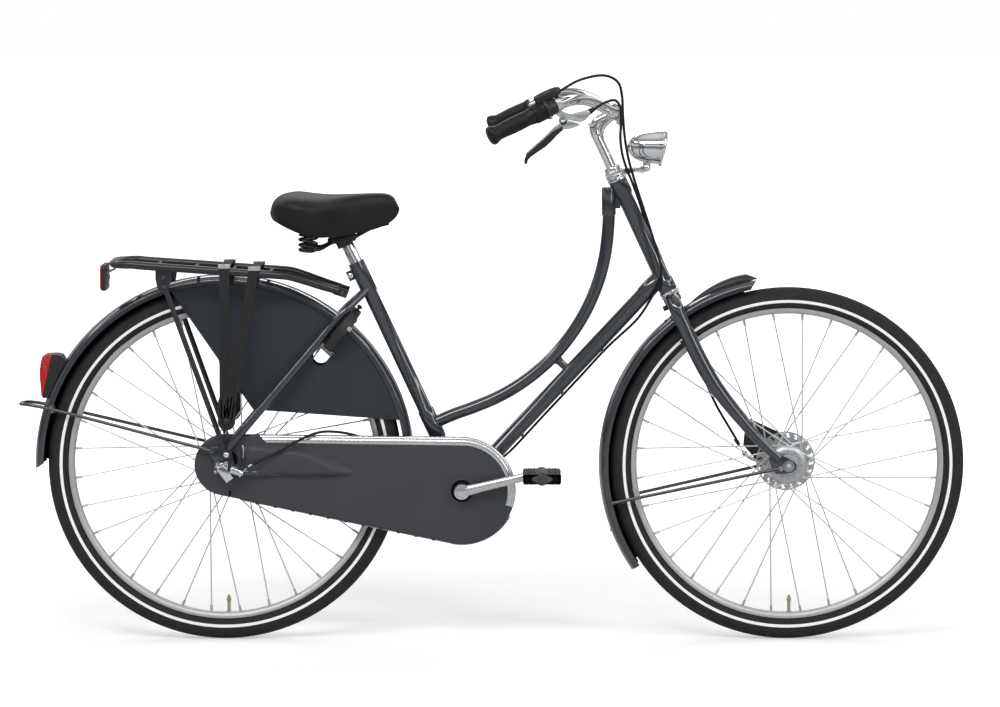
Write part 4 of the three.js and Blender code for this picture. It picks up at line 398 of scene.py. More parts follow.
def surface(
    name, colour, rough, metal=0.0, coat=0.0, vary=0.1, cloud=14.0, grain=900.0, bump=0.15, depth=0.15,
    pattern="noise", spread=0.06, worn=0.0, stretch=(1, 1, 1), gloss=0.5
):
    """A material whose colour, gloss and fine relief come from its own nodes."""
    made = bpy.data.materials.new(name)
    made.use_nodes = True
    tree = made.node_tree
    shader = tree.nodes["Principled BSDF"]
    shader.inputs["Metallic"].default_value = metal
    shader.inputs["Coat Weight"].default_value = coat
    shader.inputs["Specular IOR Level"].default_value = gloss
    shader.inputs["Coat Roughness"].default_value = 0.04
    place = node(tree, "TexCoord").outputs["Object"]
    mapped = node(tree, "Mapping", {"Vector": place, "Scale": stretch}).outputs[0]
    clouds = node(tree, "TexNoise", {"Vector": place, "Scale": cloud, "Detail": 5.0}).outputs["Fac"]
    base = linear(colour)
    dark = [v * (1 - vary) for v in base] + [1]
    light = [min(1, v * (1 + vary)) for v in base] + [1]
    ramp = node(tree, "ValToRGB", {"Fac": clouds})
    ramp.color_ramp.elements[0].position = 0.3
    ramp.color_ramp.elements[0].color = dark
    ramp.color_ramp.elements[1].position = 0.7
    ramp.color_ramp.elements[1].color = light
    tone = ramp.outputs["Color"]
    if worn:
        edge = node(tree, "NewGeometry").outputs["Pointiness"]
        rim = node(tree, "MapRange", {"Value": edge, "From Min": 0.52, "From Max": 0.6, "To Max": worn})
        bright = [min(1, v * 1.8 + 0.01) for v in base] + [1]
        mix = node(tree, "MixRGB", {"Fac": rim.outputs[0], "Color1": tone, "Color2": bright})
        tone = mix.outputs[0]
    tree.links.new(tone, shader.inputs["Base Color"])
    fine = node(tree, "TexNoise", {"Vector": mapped, "Scale": grain / 6, "Detail": 4.0}).outputs["Fac"]
    dull = node(tree, "MapRange", {"Value": fine, "To Min": rough - spread, "To Max": rough + spread})
    tree.links.new(dull.outputs[0], shader.inputs["Roughness"])
    if pattern == "cells":
        relief = node(tree, "TexVoronoi", {"Vector": mapped, "Scale": grain}, feature="DISTANCE_TO_EDGE")
        height = node(tree, "MapRange", {"Value": relief.outputs["Distance"], "From Max": 0.25}).outputs[0]
    elif pattern == "weave":
        one = node(tree, "TexWave", {"Vector": mapped, "Scale": grain / 6}, bands_direction="X")
        two = node(tree, "TexWave", {"Vector": mapped, "Scale": grain / 6}, bands_direction="Z")
        height = node(tree, "Math", {
            0: one.outputs["Fac"], 1: two.outputs["Fac"]
        }, operation="MAXIMUM").outputs[0]
    else:
        height = node(tree, "TexNoise", {"Vector": mapped, "Scale": grain, "Detail": 3.0}).outputs["Fac"]
    relief = node(tree, "Bump", {"Strength": bump, "Distance": depth * MM, "Height": height})
    tree.links.new(relief.outputs[0], shader.inputs["Normal"])
    return made


PAINT = surface(
    "slate_enamel", "292e35", 0.2, coat=0.9, vary=0.06, grain=500, bump=0.02, spread=0.03, gloss=0.4
)
CARRIER_PAINT = surface(
    "carrier_enamel", "1f2328", 0.34, coat=0.35, vary=0.06, grain=500, bump=0.02, spread=0.03, gloss=0.3
)
SATIN = surface("satin_slate", "3b3d41", 0.5, vary=0.04, grain=1600, bump=0.2, worn=0.2, gloss=0.35)
MATT = surface(
    "matt_panel", "2e3339", 0.72, vary=0.06, cloud=6, grain=2200, bump=0.35, pattern="weave", gloss=0.3
)
# Near-black painted shade for the insides of the guards and for holes and recesses
PAINTED_SHADE = surface("painted_shade_black", "08080a", 0.8, vary=0.2, gloss=0.1)
TREAD = surface(
    "tyre_rubber", "262626", 0.8, vary=0.18, cloud=40, grain=1200, bump=0.35, depth=0.3, gloss=0.3
)
STRIPE_WHITE = surface("tyre_stripe", "ffffff", 0.5, vary=0.02, grain=1500, bump=0.1)
RUBBER = surface("grip_rubber", "0c0c0d", 0.45, vary=0.15, grain=1400, bump=0.2, worn=0.15, gloss=0.28)
PLASTIC = surface("moulded_plastic", "1a1b1c", 0.42, vary=0.08, grain=1800, bump=0.2, worn=0.25, gloss=0.4)
PEDAL = surface("pedal_plastic", "3a3a3b", 0.5, vary=0.08, grain=1700, bump=0.25, worn=0.4, gloss=0.4)
STRAP = surface(
    "strap_rubber", "252424", 0.7, vary=0.12, grain=1300, bump=0.3, stretch=(1, 1, 0.2), gloss=0.3
)
CHROME = surface("chrome", "cdcfd1", 0.1, metal=1, vary=0.03, spread=0.03, grain=300, bump=0.02)
ALLOY = surface("satin_alloy", "c6c8ca", 0.27, metal=1, vary=0.04, grain=1500, bump=0.08, worn=0.2)
CAST = surface("cast_alloy", "b0b2b4", 0.42, metal=0.9, vary=0.06, grain=1100, bump=0.2, worn=0.2)
STEEL = surface("bright_steel", "9a9da0", 0.28, metal=1, vary=0.06, grain=1300, bump=0.1)
RIM_ALLOY = surface("rim_alloy", "b6b8ba", 0.5, metal=0.75, vary=0.04, grain=1500, bump=0.03)
BRASS = surface("valve_brass", "b3a88c", 0.3, metal=1, vary=0.06, grain=1500, bump=0.05)
SPOKE_STEEL = surface("spoke_steel", "c8cacc", 0.4, metal=0.35, vary=0.04, grain=1300, bump=0.05)
DARK_STEEL = surface("black_steel", "1a1a1b", 0.28, metal=0.4, vary=0.1, grain=1300, bump=0.1, worn=0.5)
LEATHER = surface(
    "saddle_leather", "0c0c0c", 0.48, vary=0.2, grain=620, bump=0.12, depth=0.25, pattern="cells", gloss=0.3
)
RED = surface(
    "red_lens", "b00208", 0.14, vary=0.12, cloud=60, grain=420, bump=0.5, depth=0.5, pattern="cells",
    gloss=0.5
)
GLASS = surface(
    "lamp_glass", "dfe6ea", 0.08, metal=0.3, vary=0.05, grain=160, bump=0.6, depth=0.6, pattern="weave",
    coat=1.0
)


def tread_pattern(material, centre_x):
    """Chevron blocks on the crown of a tyre, by angle about its axle."""
    tree = material.node_tree
    shader = tree.nodes["Principled BSDF"]
    relief = shader.inputs["Normal"].links[0].from_node
    place = node(tree, "TexCoord").outputs["Object"]
    shift = ((MIDDLE - centre_x) * MM, 0, -AXLE_Z * MM)
    local = node(tree, "VectorMath", {0: place, 1: shift}, operation="ADD").outputs[0]
    split = node(tree, "SeparateXYZ", {0: local})
    angle = node(tree, "Math", {
        0: split.outputs["Z"], 1: split.outputs["X"]
    }, operation="ARCTAN2").outputs[0]
    across = node(tree, "Math", {0: split.outputs["Y"]}, operation="ABSOLUTE").outputs[0]
    lean = node(tree, "Math", {0: across, 1: 5.5 / MM / 10}, operation="MULTIPLY").outputs[0]
    turns = node(tree, "Math", {0: angle, 1: 120.0}, operation="MULTIPLY").outputs[0]
    both = node(tree, "Math", {0: turns, 1: lean}, operation="ADD").outputs[0]
    wave = node(tree, "Math", {0: both}, operation="SINE").outputs[0]
    blocks = node(tree, "MapRange", {"Value": wave, "From Min": -0.2, "From Max": 0.2}).outputs[0]
    crown = node(tree, "MapRange", {
        "Value": across, "From Min": 0.0165, "From Max": 0.019, "To Min": 1, "To Max": 0
    })
    edge = node(tree, "MapRange", {"Value": across, "From Min": 0.0015, "From Max": 0.0025}).outputs[0]
    shaped = node(tree, "Math", {0: blocks, 1: crown.outputs[0]}, operation="MULTIPLY").outputs[0]
    shaped = node(tree, "Math", {0: shaped, 1: edge}, operation="MULTIPLY").outputs[0]
    deep = node(tree, "Bump", {"Strength": 0.7, "Distance": 1.2 * MM, "Height": shaped})
    tree.links.new(deep.outputs[0], relief.inputs["Normal"])


def tyre_material(name, centre_x):
    """The tyre rubber with its tread centred on one axle."""
    made = TREAD.copy()
    made.name = name
    tread_pattern(made, centre_x)
    return made


# Wheels


def wheel(name, body, cx, hub_form):
    """Tyre, rim, spokes, hub and valve of one wheel."""
    tyre = Form()
    section = [(RIM_EDGE + CLEAR, -10.1), (RIM_EDGE + 1.2, -14)]
    marks = [0, 0]
    angles = [-125, -116, -STRIPE[1], -STRIPE[0], -84, -76, -66, -56, -45, -34, -22, -11]
    angles = angles + [0] + [-a for a in reversed(angles)]
    bulge = TYRE_SECTION - CLEAR
    for a, b in zip(angles, angles[1:] + [None]):
        angle = math.radians(a)
        section.append((TYRE_CROWN + TYRE_SECTION * math.cos(angle), bulge * math.sin(angle)))
        marks.append(1 if (a, b) in ((-STRIPE[1], -STRIPE[0]), (STRIPE[0], STRIPE[1])) else 0)
    section += [(RIM_EDGE + 1.2, 14), (RIM_EDGE + CLEAR, 10.1)]
    marks += [0, 0]
    put(tyre, turn(section, (cx, 0, AXLE_Z), segments=160, mark=marks, loop=True))
    rubber = tyre_material(name + "_tread", cx)
    show(name + "_tyre", tyre, body, [rubber, STRIPE_WHITE], "tyre", angle=60)

    rim = Form()
    base = RIM_HALF - 3.4
    half = [
        (309.5, base - 1), (RIM_EDGE - 1, RIM_HALF - 1.8), (RIM_EDGE, RIM_HALF - 1.2),
        (RIM_EDGE - 0.4, RIM_HALF), (RIM_EDGE - 4, RIM_HALF), (RIM_EDGE - 6.5, RIM_HALF - 0.6),
        (RIM_INNER + 2.2, base + 1), (RIM_INNER, base - 1.5)
    ]
    section = [(r, -y) for r, y in half] + [(r, y) for r, y in reversed(half)]
    put(rim, turn(section, (cx, 0, AXLE_Z), segments=160, loop=True))
    for k in range(32):
        spot = on_circle(cx, AXLE_Z, RIM_INNER, -90 + 5.625 + k * 11.25, -3 if k % 2 else 3)
        inward = (Vector((cx, spot.y, AXLE_Z)) - spot).normalized()
        put(rim, pin(spot - inward * 2, spot + inward * 0.8, 3.4, 12))
    show(name + "_rim", rim, body, RIM_ALLOY, "alloy", angle=30)

    for side, word in ((-1, "right"), (1, "left")):
        spokes = Form()
        pitch = 360 / SIDE_SPOKES
        for i in range(SIDE_SPOKES):
            rim_angle = -90 - side * pitch / 4 + i * pitch
            lead = 1 if i % 2 else -1
            head = 32.2 if i % 2 else 25.6
            hole = on_circle(cx, AXLE_Z, HOLE_RADIUS, rim_angle + lead * 3 * pitch, side * head)
            end = on_circle(cx, AXLE_Z, RIM_INNER - 0.5, rim_angle, side * 3)
            put(spokes, sweep([hole, end], SPOKE, 8))
            put(spokes, orb(hole, 2, 10, (1, 0.6, 1)))
            put(spokes, pin(towards(end, hole, 12), end, 2.6, 10, 1))
        show(f"{name}_spokes_{word}", spokes, body, [SPOKE_STEEL, CAST], "steel")

    show(name + "_hub", hub_form, body, [CAST, STEEL], "alloy", angle=30)

    valve = Form()
    spot = (cx + 6, 0, AXLE_Z - RIM_INNER)
    put(valve, turn([
        (5, -1), (5, 1.6), (3.4, 2.4), (3.4, 22), (4.6, 23), (4.6, 29), (3.2, 30), (3.2, 34), (2.4, 35),
        (0.4, 35.4)
    ], spot, (0, 0, 1), 16))
    piece(name + "_valve", valve, body, BRASS, "steel")


def flange(form, cx, y):
    """One hub flange with its rolled edge and the rim of every spoke hole."""
    half = FLANGE_THICK / 2
    put(form, turn([
        (12, -half), (FLANGE - 1, -half), (FLANGE, -half + 1), (FLANGE, half - 1), (FLANGE - 1, half),
        (12, half)
    ], (cx, y, AXLE_Z), segments=64, loop=True))
    for k in range(SIDE_SPOKES):
        spot = on_circle(cx, AXLE_Z, HOLE_RADIUS, k * 360 / SIDE_SPOKES, y)
        for side in (-1, 1):
            put(form, turn([
                (1.6, side * half), (1.8, side * (half + 0.4)), (2.6, side * (half + 0.4)),
                (2.8, side * half)
            ], spot, segments=10, mark=1))


def front_hub():
    form = Form()
    cx = WHEELBASE
    barrel = [
        (5.5, -47.9), (13.4, -47.9), (14, -47), (14, -38), (19, -37.6), (20.4, -36.6), (21, -36.8),
        (30, -36.4), (36, -34.6), (39.4, -31), (40, -28), (39, -26.4), (24, -25.4), (19.5, -24), (18, -19),
        (18, 19), (19.5, 24), (26, 28), (26, 36), (32, 37), (5.5, 37)
    ]
    put(form, turn(barrel, (cx, 0, AXLE_Z), segments=64, loop=True))
    flange(form, cx, -28.5)
    flange(form, cx, 28.5)
    # Slanting ribs join the cooling disc to its outer ring and leave slots between them
    plate = (cx, 0, AXLE_Z)
    put(form, turn([(12, 37), (48.6, 37), (48.6, 39.4), (12, 39.4)], plate, segments=96, loop=True))
    put(form, turn([
        (56.6, 37), (59.6, 37), (60, 37.5), (60, 38.9), (59.6, 39.4), (56.6, 39.4)
    ], plate, segments=96, loop=True))
    slots = 20
    for k in range(slots):
        inner = on_circle(cx, AXLE_Z, 47.6, k * 360 / slots, 38.2)
        outer = on_circle(cx, AXLE_Z, 57.6, k * 360 / slots + 7, 38.2)
        run = outer - inner
        put(form, brick(
            (inner + outer) / 2, (run.length, 2.3, 10.4), math.degrees(math.atan2(run.z, run.x))
        ))
    for k in range(12):
        spot = on_circle(cx, AXLE_Z, 27, k * 30, 0)
        put(form, turn([
            (0.1, -37.3), (1.3, -37.2), (1.8, -36.6), (1.8, -35)
        ], (spot.x, 0, spot.z), segments=12, mark=1))
    return form


def rear_hub():
    form = Form()
    profile = [
        (5.5, -43.5), (20, -43.5), (20, -32), (23, -30.5), (25, -27), (24, -22), (24, 22), (25.5, 27),
        (24, 31), (22, 33), (22, 51), (21, 52), (5.5, 52)
    ]
    put(form, turn(profile, REAR_AXLE, segments=64, loop=True))
    flange(form, 0, -28.5)
    flange(form, 0, 28.5)
    for y in (-12, 0, 12):
        put(form, turn([(24, y - 1), (24.5, y - 0.5), (24.5, y + 0.5), (24, y + 1)], REAR_AXLE, segments=64))
    return form


wheel("front", "front_wheel", WHEELBASE, front_hub())
wheel("rear", "rear_wheel", 0, rear_hub())

# Frame tubes with their lugs


def lugged(a, b, radius, lugs):
    """A tube between two points; each lug is where it starts and ends and its radius."""
    length = (Vector(b) - Vector(a)).length
    profile = [(radius, 0), (radius, length)]
    for start, end, wide in lugs:
        ease = 2.2
        before = (radius, start - ease) if start > ease else (wide - 0.6, start)
        after = (radius, end + ease) if end < length - ease else (wide - 0.6, end)
        profile += [before, (wide, start + 0.6), (wide, end - 0.6), after]
    profile.sort(key=lambda p: p[1])
    clean = [p for p in profile if not any(s < p[1] < e and p[0] == radius for s, e, _ in lugs)]
    return turn(clean, a, Vector(b) - Vector(a), 40)


curve_joint = between(BRACKET, SEAT_TOP, (CURVE_JOINT_Z - BRACKET[2]) / (SEAT_TOP[2] - BRACKET[2]))
down_top = between(HEAD_LOW, HEAD_HIGH, (DOWN_TOP_Z - HEAD_LOW[2]) / (HEAD_HIGH[2] - HEAD_LOW[2]))
head_length = (Vector(HEAD_HIGH) - Vector(HEAD_LOW)).length
seat_length = (Vector(SEAT_TOP) - Vector(BRACKET)).length


def head_tube():
    head = Form()
    put(head, lugged(HEAD_LOW, HEAD_HIGH, TUBE, [(0, 30, LUG), (head_length - 30, head_length, LUG)]))
    show("head_tube", head, "frame", PAINT, "paint", angle=50)


def down_tube():
    down = Form()
    start = towards(down_top, BRACKET, 6)
    length = (Vector(BRACKET) - start).length
    put(down, lugged(start, BRACKET, TUBE, [(0, 46, 17.3), (length - 44, length - 4, 17.3)]))
    for share in (0.32, 0.52, 0.72):
        spot = between(down_top, BRACKET, share)
        put(down, pin(spot + Vector((9, 0, -13)), spot + Vector((13, 0, -18.5)), 3.4, 12))
    show("down_tube", down, "frame", PAINT, "paint", angle=50)


def curved_top_tube():
    shares = [
        (0, 0), (0.119, 0.039), (0.23, 0.069), (0.362, 0.11), (0.482, 0.16), (0.593, 0.221), (0.69, 0.288),
        (0.776, 0.365), (0.849, 0.448), (0.908, 0.536), (0.953, 0.629), (0.98, 0.715), (0.994, 0.8),
        (1, 0.874), (1, 1)
    ]
    cx, _, cz = curve_joint
    route = [(cx + (CURVED_TOP[0] - cx) * x, 0, cz + (CURVED_TOP[2] - cz) * z) for x, z in shares]
    curved = Form()
    put(curved, sweep(smooth_path(route, 8), 12.7, 36))
    top = Vector(CURVED_TOP)
    put(curved, turn([
        (12.7, -57), (14.2, -54), (14.4, -53), (14.4, -1.5), (13.4, 0), (0.1, 0.4)
    ], top, (0, 0, 1), 40))
    bridge = Vector(route[6])
    run = Vector(down_top) - Vector(BRACKET)
    across = Vector((run.z, 0, -run.x)).normalized()
    put(curved, turn([(11, 10), (8.4, 16), (8, 20), (8, 36), (9, 40)], bridge, across, 24))
    put(curved, brick((CURVED_TOP[0] + 12, 0, CURVED_TOP[2] - 24), (22, 10, 36)))
    show("curved_top_tube", curved, "frame", PAINT, "paint", angle=50)


def seat_tube():
    seat = Form()
    joint = (curve_joint - Vector(BRACKET)).length
    lugs = [(joint - 31, joint + 31, 16.6), (seat_length - 66, seat_length, 16.6)]
    put(seat, lugged(BRACKET, SEAT_TOP, 14.3, lugs))
    x, z = BRACKET[0], BRACKET[2]
    put(seat, turn([
        (9, -34), (19.5, -34), (20.5, -33), (20.5, 33), (19.5, 34), (9, 34)
    ], (x, 0, z), segments=48, loop=True))
    binder = towards(SEAT_TOP, BRACKET, 20)
    back = Vector((-(SEAT_TOP[2] - BRACKET[2]), 0, -(BRACKET[0] - SEAT_TOP[0]))).normalized()
    slope = math.degrees(math.atan2(BRACKET[0] - SEAT_TOP[0], SEAT_TOP[2] - BRACKET[2]))
    for side in (-1, 1):
        centre = binder + back * 16 + Vector((0, side * 5, 0))
        put(seat, brick(centre, (22, 6, 20), slope))
    eye = binder + back * 21
    for side in (-1, 1):
        put(seat, pin(eye + Vector((0, side * 8, 0)), eye + Vector((0, side * 14.5, 0)), 6, 6, 1, 0.15))
    put(seat, pin(eye + Vector((0, -12, 0)), eye + Vector((0, 12, 0)), 3, 12, 1))
    show("seat_tube", seat, "frame", [PAINT, CHROME], "paint", angle=50)


head_tube()
down_tube()
curved_top_tube()
seat_tube()

DROPOUT = [
    (-0.72, 0.72), (-0.66, 0.98), (-0.3, 1.02), (-0.12, 0.94), (0.02, 1.02), (0.36, 1), (0.46, 0.62),
    (0.56, 0.14), (1, -0.02), (1, -0.4), (0.4, -0.48), (-0.24, -0.46), (-0.5, -0.2), (-0.5, 0.3)
]
BOLT = (7, 383)
STAY_Y = 62.25


def chain_stays():
    stays = [
        (0.96, 0.98, -0.24), (0.9, 0.9, 0), (0.7, 0.72, 0), (0.5, 0.52, 0.12), (0.3, 0.32, 0.5),
        (0.16, 0.26, 0.9), (0.05, 0.24, 1)
    ]
    route = [
        (x * BRACKET[0], -(32 + (STAY_Y - 32) * y), AXLE_Z + (BRACKET[2] - AXLE_Z) * z) for x, z, y in stays
    ]
    form = Form()
    path = smooth_path(route, 6)
    put(form, sweep(path, [7] * (len(path) - 6) + [6.8, 6.5, 6.2, 5.9, 5.6, 5.3], 20))
    put(form, slab([(x * 40, AXLE_Z + z * 40) for x, z in DROPOUT], -64.5, -60))
    put(form, pin((392, -30, 317), (392, -30, 352), 6, 16))
    form.both()
    put(form, pin((392, -31, 352), (392, 31, 352), 6, 16))
    show("chain_stays", form, "frame", PAINT, "paint", bevel=0.8, angle=50)


def seat_stays():
    upper = towards(SEAT_TOP, BRACKET, 58)
    shoulder = on_circle(0, AXLE_Z, REAR_GUARD + 8 + GUARD_WALL, 52.0, -38)
    lower = Vector((BOLT[0] + CLEAR, -STAY_Y, AXLE_Z + 0.86 * 40))

    def outwards(down, out):
        spot = between(shoulder, lower, down)
        return Vector((spot.x, -38 + (-STAY_Y + 38) * out, spot.z))

    rise = (upper + shoulder) / 2
    route = [
        (upper.x, -8, upper.z), (rise.x, -38 * 0.62, rise.z), shoulder, outwards(0.12, 0.1),
        outwards(0.5, 0.58), outwards(0.84, 1), lower
    ]
    form = Form()
    put(form, sweep(smooth_path(route, 8), 8, 28))
    put(form, orb(lower, 7.6, 16, (1, 0.6, 1)))
    form.both()
    put(form, pin((shoulder.x, -38, shoulder.z), (shoulder.x, 38, shoulder.z), 5.5, 16))
    show("seat_stays", form, "frame", PAINT, "paint", angle=50)


chain_stays()
seat_stays()

# Mudguards, guards and the carrier


STAY_OFFSET = 32.1


def guard(cx, radius, span, tips):
    """A rolled channel about an axle; tips cut its ends at a slant, in degrees over the side's depth."""
    corners = [(SKIRT, GUARD_HALF), (0.42 * SKIRT, 0.94 * GUARD_HALF), (0, 0.36 * GUARD_HALF)]
    side = [(radius - d, -y) for d, y in corners]
    shape = smooth_path([(r, 0, y) for r, y in side] + [(r, 0, -y) for r, y in reversed(side)], 5)
    outer = [(p.x, p.z) for p in shape]
    inner = [
        (r - GUARD_WALL * (0.4 if abs(y) > 28 else 1), y * (1 - GUARD_WALL / GUARD_HALF)) for r, y in outer
    ]
    steps = 110
    rings = []
    for k in range(steps + 1):
        ring = []
        for r, y in outer + list(reversed(inner)):
            drop = min(1, (radius - r) / SKIRT)
            low = span[0] + tips[0] * drop
            high = span[1] - tips[1] * drop
            ring.append(on_circle(cx, AXLE_Z, r, low + (high - low) * k / steps, y))
        rings.append(ring)
    verts, faces, _ = skin(rings)
    count = len(outer)
    # The inner faces take the second material, near-black painted shade inside the guard
    marks = []
    for index in range(len(faces)):
        position = index % (2 * count)
        marks.append(1 if index < len(faces) - 2 and position >= count else 0)
    return verts, faces, marks


def far_lip(cx, radius, low, high):
    """A dark inner edge on the left side of a mudguard, a strip of painted shade."""
    section = [(radius - 10, 27.4), (radius - 29, 27.4), (radius - 29, 26.2), (radius - 10, 26.2)]
    rings = []
    for k in range(61):
        degrees = low + (high - low) * k / 60
        rings.append([on_circle(cx, AXLE_Z, r, degrees, y) for r, y in section])
    return skin(rings, mark=1)


def rear_mudguard():
    rear_guard = Form()
    put(rear_guard, guard(0, REAR_GUARD, (3, 181.5), (0, 1.9)))
    put(rear_guard, far_lip(0, REAR_GUARD, 100, 179))
    for degrees in (62, 74, 86, 98, 110):
        ring = [on_circle(0, AXLE_Z, REAR_GUARD - SKIRT * 0.5, degrees, side * 28.9) for side in (-1, 1)]
        for spot in ring:
            put(rear_guard, brick(spot, (2.4, 1.6, 14), degrees - 90))
    show("rear_mudguard", rear_guard, "frame", [PAINT, PAINTED_SHADE], "satin_black", angle=40)


def front_mudguard():
    front_guard = Form()
    put(front_guard, guard(WHEELBASE, FRONT_GUARD, (99.6, 214.5), (2.6, 0)))
    put(front_guard, far_lip(WHEELBASE, FRONT_GUARD, 104, 213))
    crest = []
    for k in range(25):
        share = k / 24
        swell = math.sin(math.pi * min(1, 0.3 + share * 0.7)) ** 0.9
        crest.append((99.7 + 21.6 * share, 1.2 + 13.6 * swell * min(1, (share + 0.02) * 7)))
    rings = []
    for degrees, height in crest:
        wide = 6 + 7.5 * height / 13
        ring = []
        for k in range(15):
            angle = math.pi * k / 14
            ring.append(on_circle(
                WHEELBASE, AXLE_Z, FRONT_GUARD - 1 + height * math.sin(angle) ** 0.8, degrees,
                -wide * math.cos(angle)
            ))
        ring += [
            on_circle(WHEELBASE, AXLE_Z, FRONT_GUARD - 4, degrees, wide * 0.9),
            on_circle(WHEELBASE, AXLE_Z, FRONT_GUARD - 4, degrees, -wide * 0.9)
        ]
        rings.append(ring)
    put(front_guard, skin(rings, mark=2))
    for degrees, side in ((128.2, -1), (130.4, -1), (201, 0)):
        spot = on_circle(WHEELBASE, AXLE_Z, FRONT_GUARD, degrees, side * 8)
        out = (spot - Vector((WHEELBASE, spot.y, AXLE_Z))).normalized()
        put(front_guard, turn([(0.1, 2.6), (2.6, 2.2), (3.8, 0.8), (3.8, -1)], spot, out, 18, 2))
    show("front_mudguard", front_guard, "steering", [PAINT, PAINTED_SHADE, PLASTIC], "satin_black", angle=40)


def rear_mudguard_stay():
    tail_stay = Form()
    out = 67.9
    route = [
        (-21, -out, 390), (-348, -STAY_OFFSET, 471), (-378, -STAY_OFFSET, 477.2),
        (-398.7, -STAY_OFFSET * 0.85, 480), (-411, -STAY_OFFSET * 0.5, 480)
    ]
    right = smooth_path([*route, (-411, 0, 480)], 8)
    left = mirrored_path(right[:-1])
    put(tail_stay, sweep([*right, *left], 3.5, 14))
    side = Form()
    put(side, turn([
        (0.1, -3.4), (4.6, -3.2), (5.4, -2.2), (5.4, 0), (3, 0.4), (3, 3)
    ], (-21, -out, 390), segments=20))
    put(side, brick((-348, -30.4, 471), (15, 2.6, 17), 15))
    for dz in (-4.5, 4.5):
        put(side, turn(
            [(0.1, -1.8), (2.2, -1.5), (2.8, -0.6), (2.8, 1)], (-348 - dz * 0.3, -31.8, 471 + dz),
            segments=14, mark=1
        ))
    tail_stay.join(side.both())
    show("rear_mudguard_stay", tail_stay, "frame", [PAINT, STEEL], "satin_black", angle=40)


def front_mudguard_stay():
    front_stay = Form()
    crossing = on_circle(WHEELBASE, AXLE_Z, FRONT_GUARD - 9, 192.4)
    out = 58.5
    eye = Vector((WHEELBASE - 16, -out, AXLE_Z - 4))
    corner = Vector((crossing.x, -STAY_OFFSET, crossing.z))
    half = [
        eye, towards(corner, eye, 9), towards(corner, eye, 3),
        towards(corner, (crossing.x, 0, crossing.z), 2), Vector((crossing.x, 0, crossing.z))
    ]
    other = mirrored_path(half[:-1])
    put(front_stay, sweep([*half, *other], 3.5, 14))
    side = Form()
    put(side, turn([(0.1, -3), (4.6, -2.8), (5.6, -1.8), (5.6, 2.6)], eye, segments=20, mark=1))
    put(side, brick((crossing.x + 4, -30.6, crossing.z + 1), (14, 2.4, 9), 12))
    put(side, turn(
        [(0.1, -1.8), (2, -1.5), (2.6, -0.6), (2.6, 1)], (crossing.x + 7, -31.8, crossing.z + 1.5),
        segments=14, mark=1
    ))
    front_stay.join(side.both())
    show("front_mudguard_stay", front_stay, "steering", [PAINT, STEEL], "satin_black", angle=40)


rear_mudguard()
front_mudguard()
rear_mudguard_stay()
front_mudguard_stay()

LOCK_TURN = math.radians(90 - 51.6)


def lock_place(x, y, z):
    """A point of the ring lock's own frame: X towards the front, Z away from the hub."""
    return Vector((
        x * math.cos(LOCK_TURN) + z * math.sin(LOCK_TURN), y,
        -x * math.sin(LOCK_TURN) + z * math.cos(LOCK_TURN) + AXLE_Z
    ))


def coat_guards():
    arc = [on_circle(0, AXLE_Z, COAT_GUARD, 107 - 92.8 * k / 60) for k in range(61)]
    outline = [(p.x, p.z) for p in arc] + [(59, 470), (-103, 706)]
    window = Form()
    corners = [(1.1, 318), (33.1, 318)]
    for k in range(13):
        angle = math.radians(-k * 15)
        corners.append((17.1 + 16 * math.cos(angle), 291 + 16 * math.sin(angle)))
    places = [lock_place(x, 0, z) for x, z in corners]
    put(window, slab([(p.x, p.z) for p in places], -40, 40))
    for side, word in ((-1, "right"), (1, "left")):
        panel = Form()
        put(panel, slab(outline, *sorted((side * 25.2, side * 26.3))))
        show(f"coat_guard_{word}", panel, "frame", [MATT], "matt_panel", carve=window)
        trim = Form()
        y = side * 26.2
        edge = [(356.7, 0, 449), (59, 0, 470.5), (-102, 0, 705)]
        for a, b in zip(edge, edge[1:]):
            put(trim, sweep([(a[0], y, a[2]), (b[0], y, b[2])], 0.9, 8))
        for x, z in ((330, 451), (200, 460.4), (90, 468.2)):
            put(trim, brick((x, y, z + 3), (9, 1.6, 8), -4, 1))
        for share in (0.15, 0.85):
            spot = between((59, 0, 470), (-103, 0, 706), share)
            put(trim, brick((spot.x + 2, y, spot.z + 1), (8, 1.6, 9), 35, 1))
        piece(f"coat_guard_trim_{word}", trim, "frame", [MATT, PLASTIC], "matt_panel")


coat_guards()


def rail_height(x):
    """Height of the carrier's side rails, which slope down to the front."""
    return 766 - 0.06918 * (x + 186)


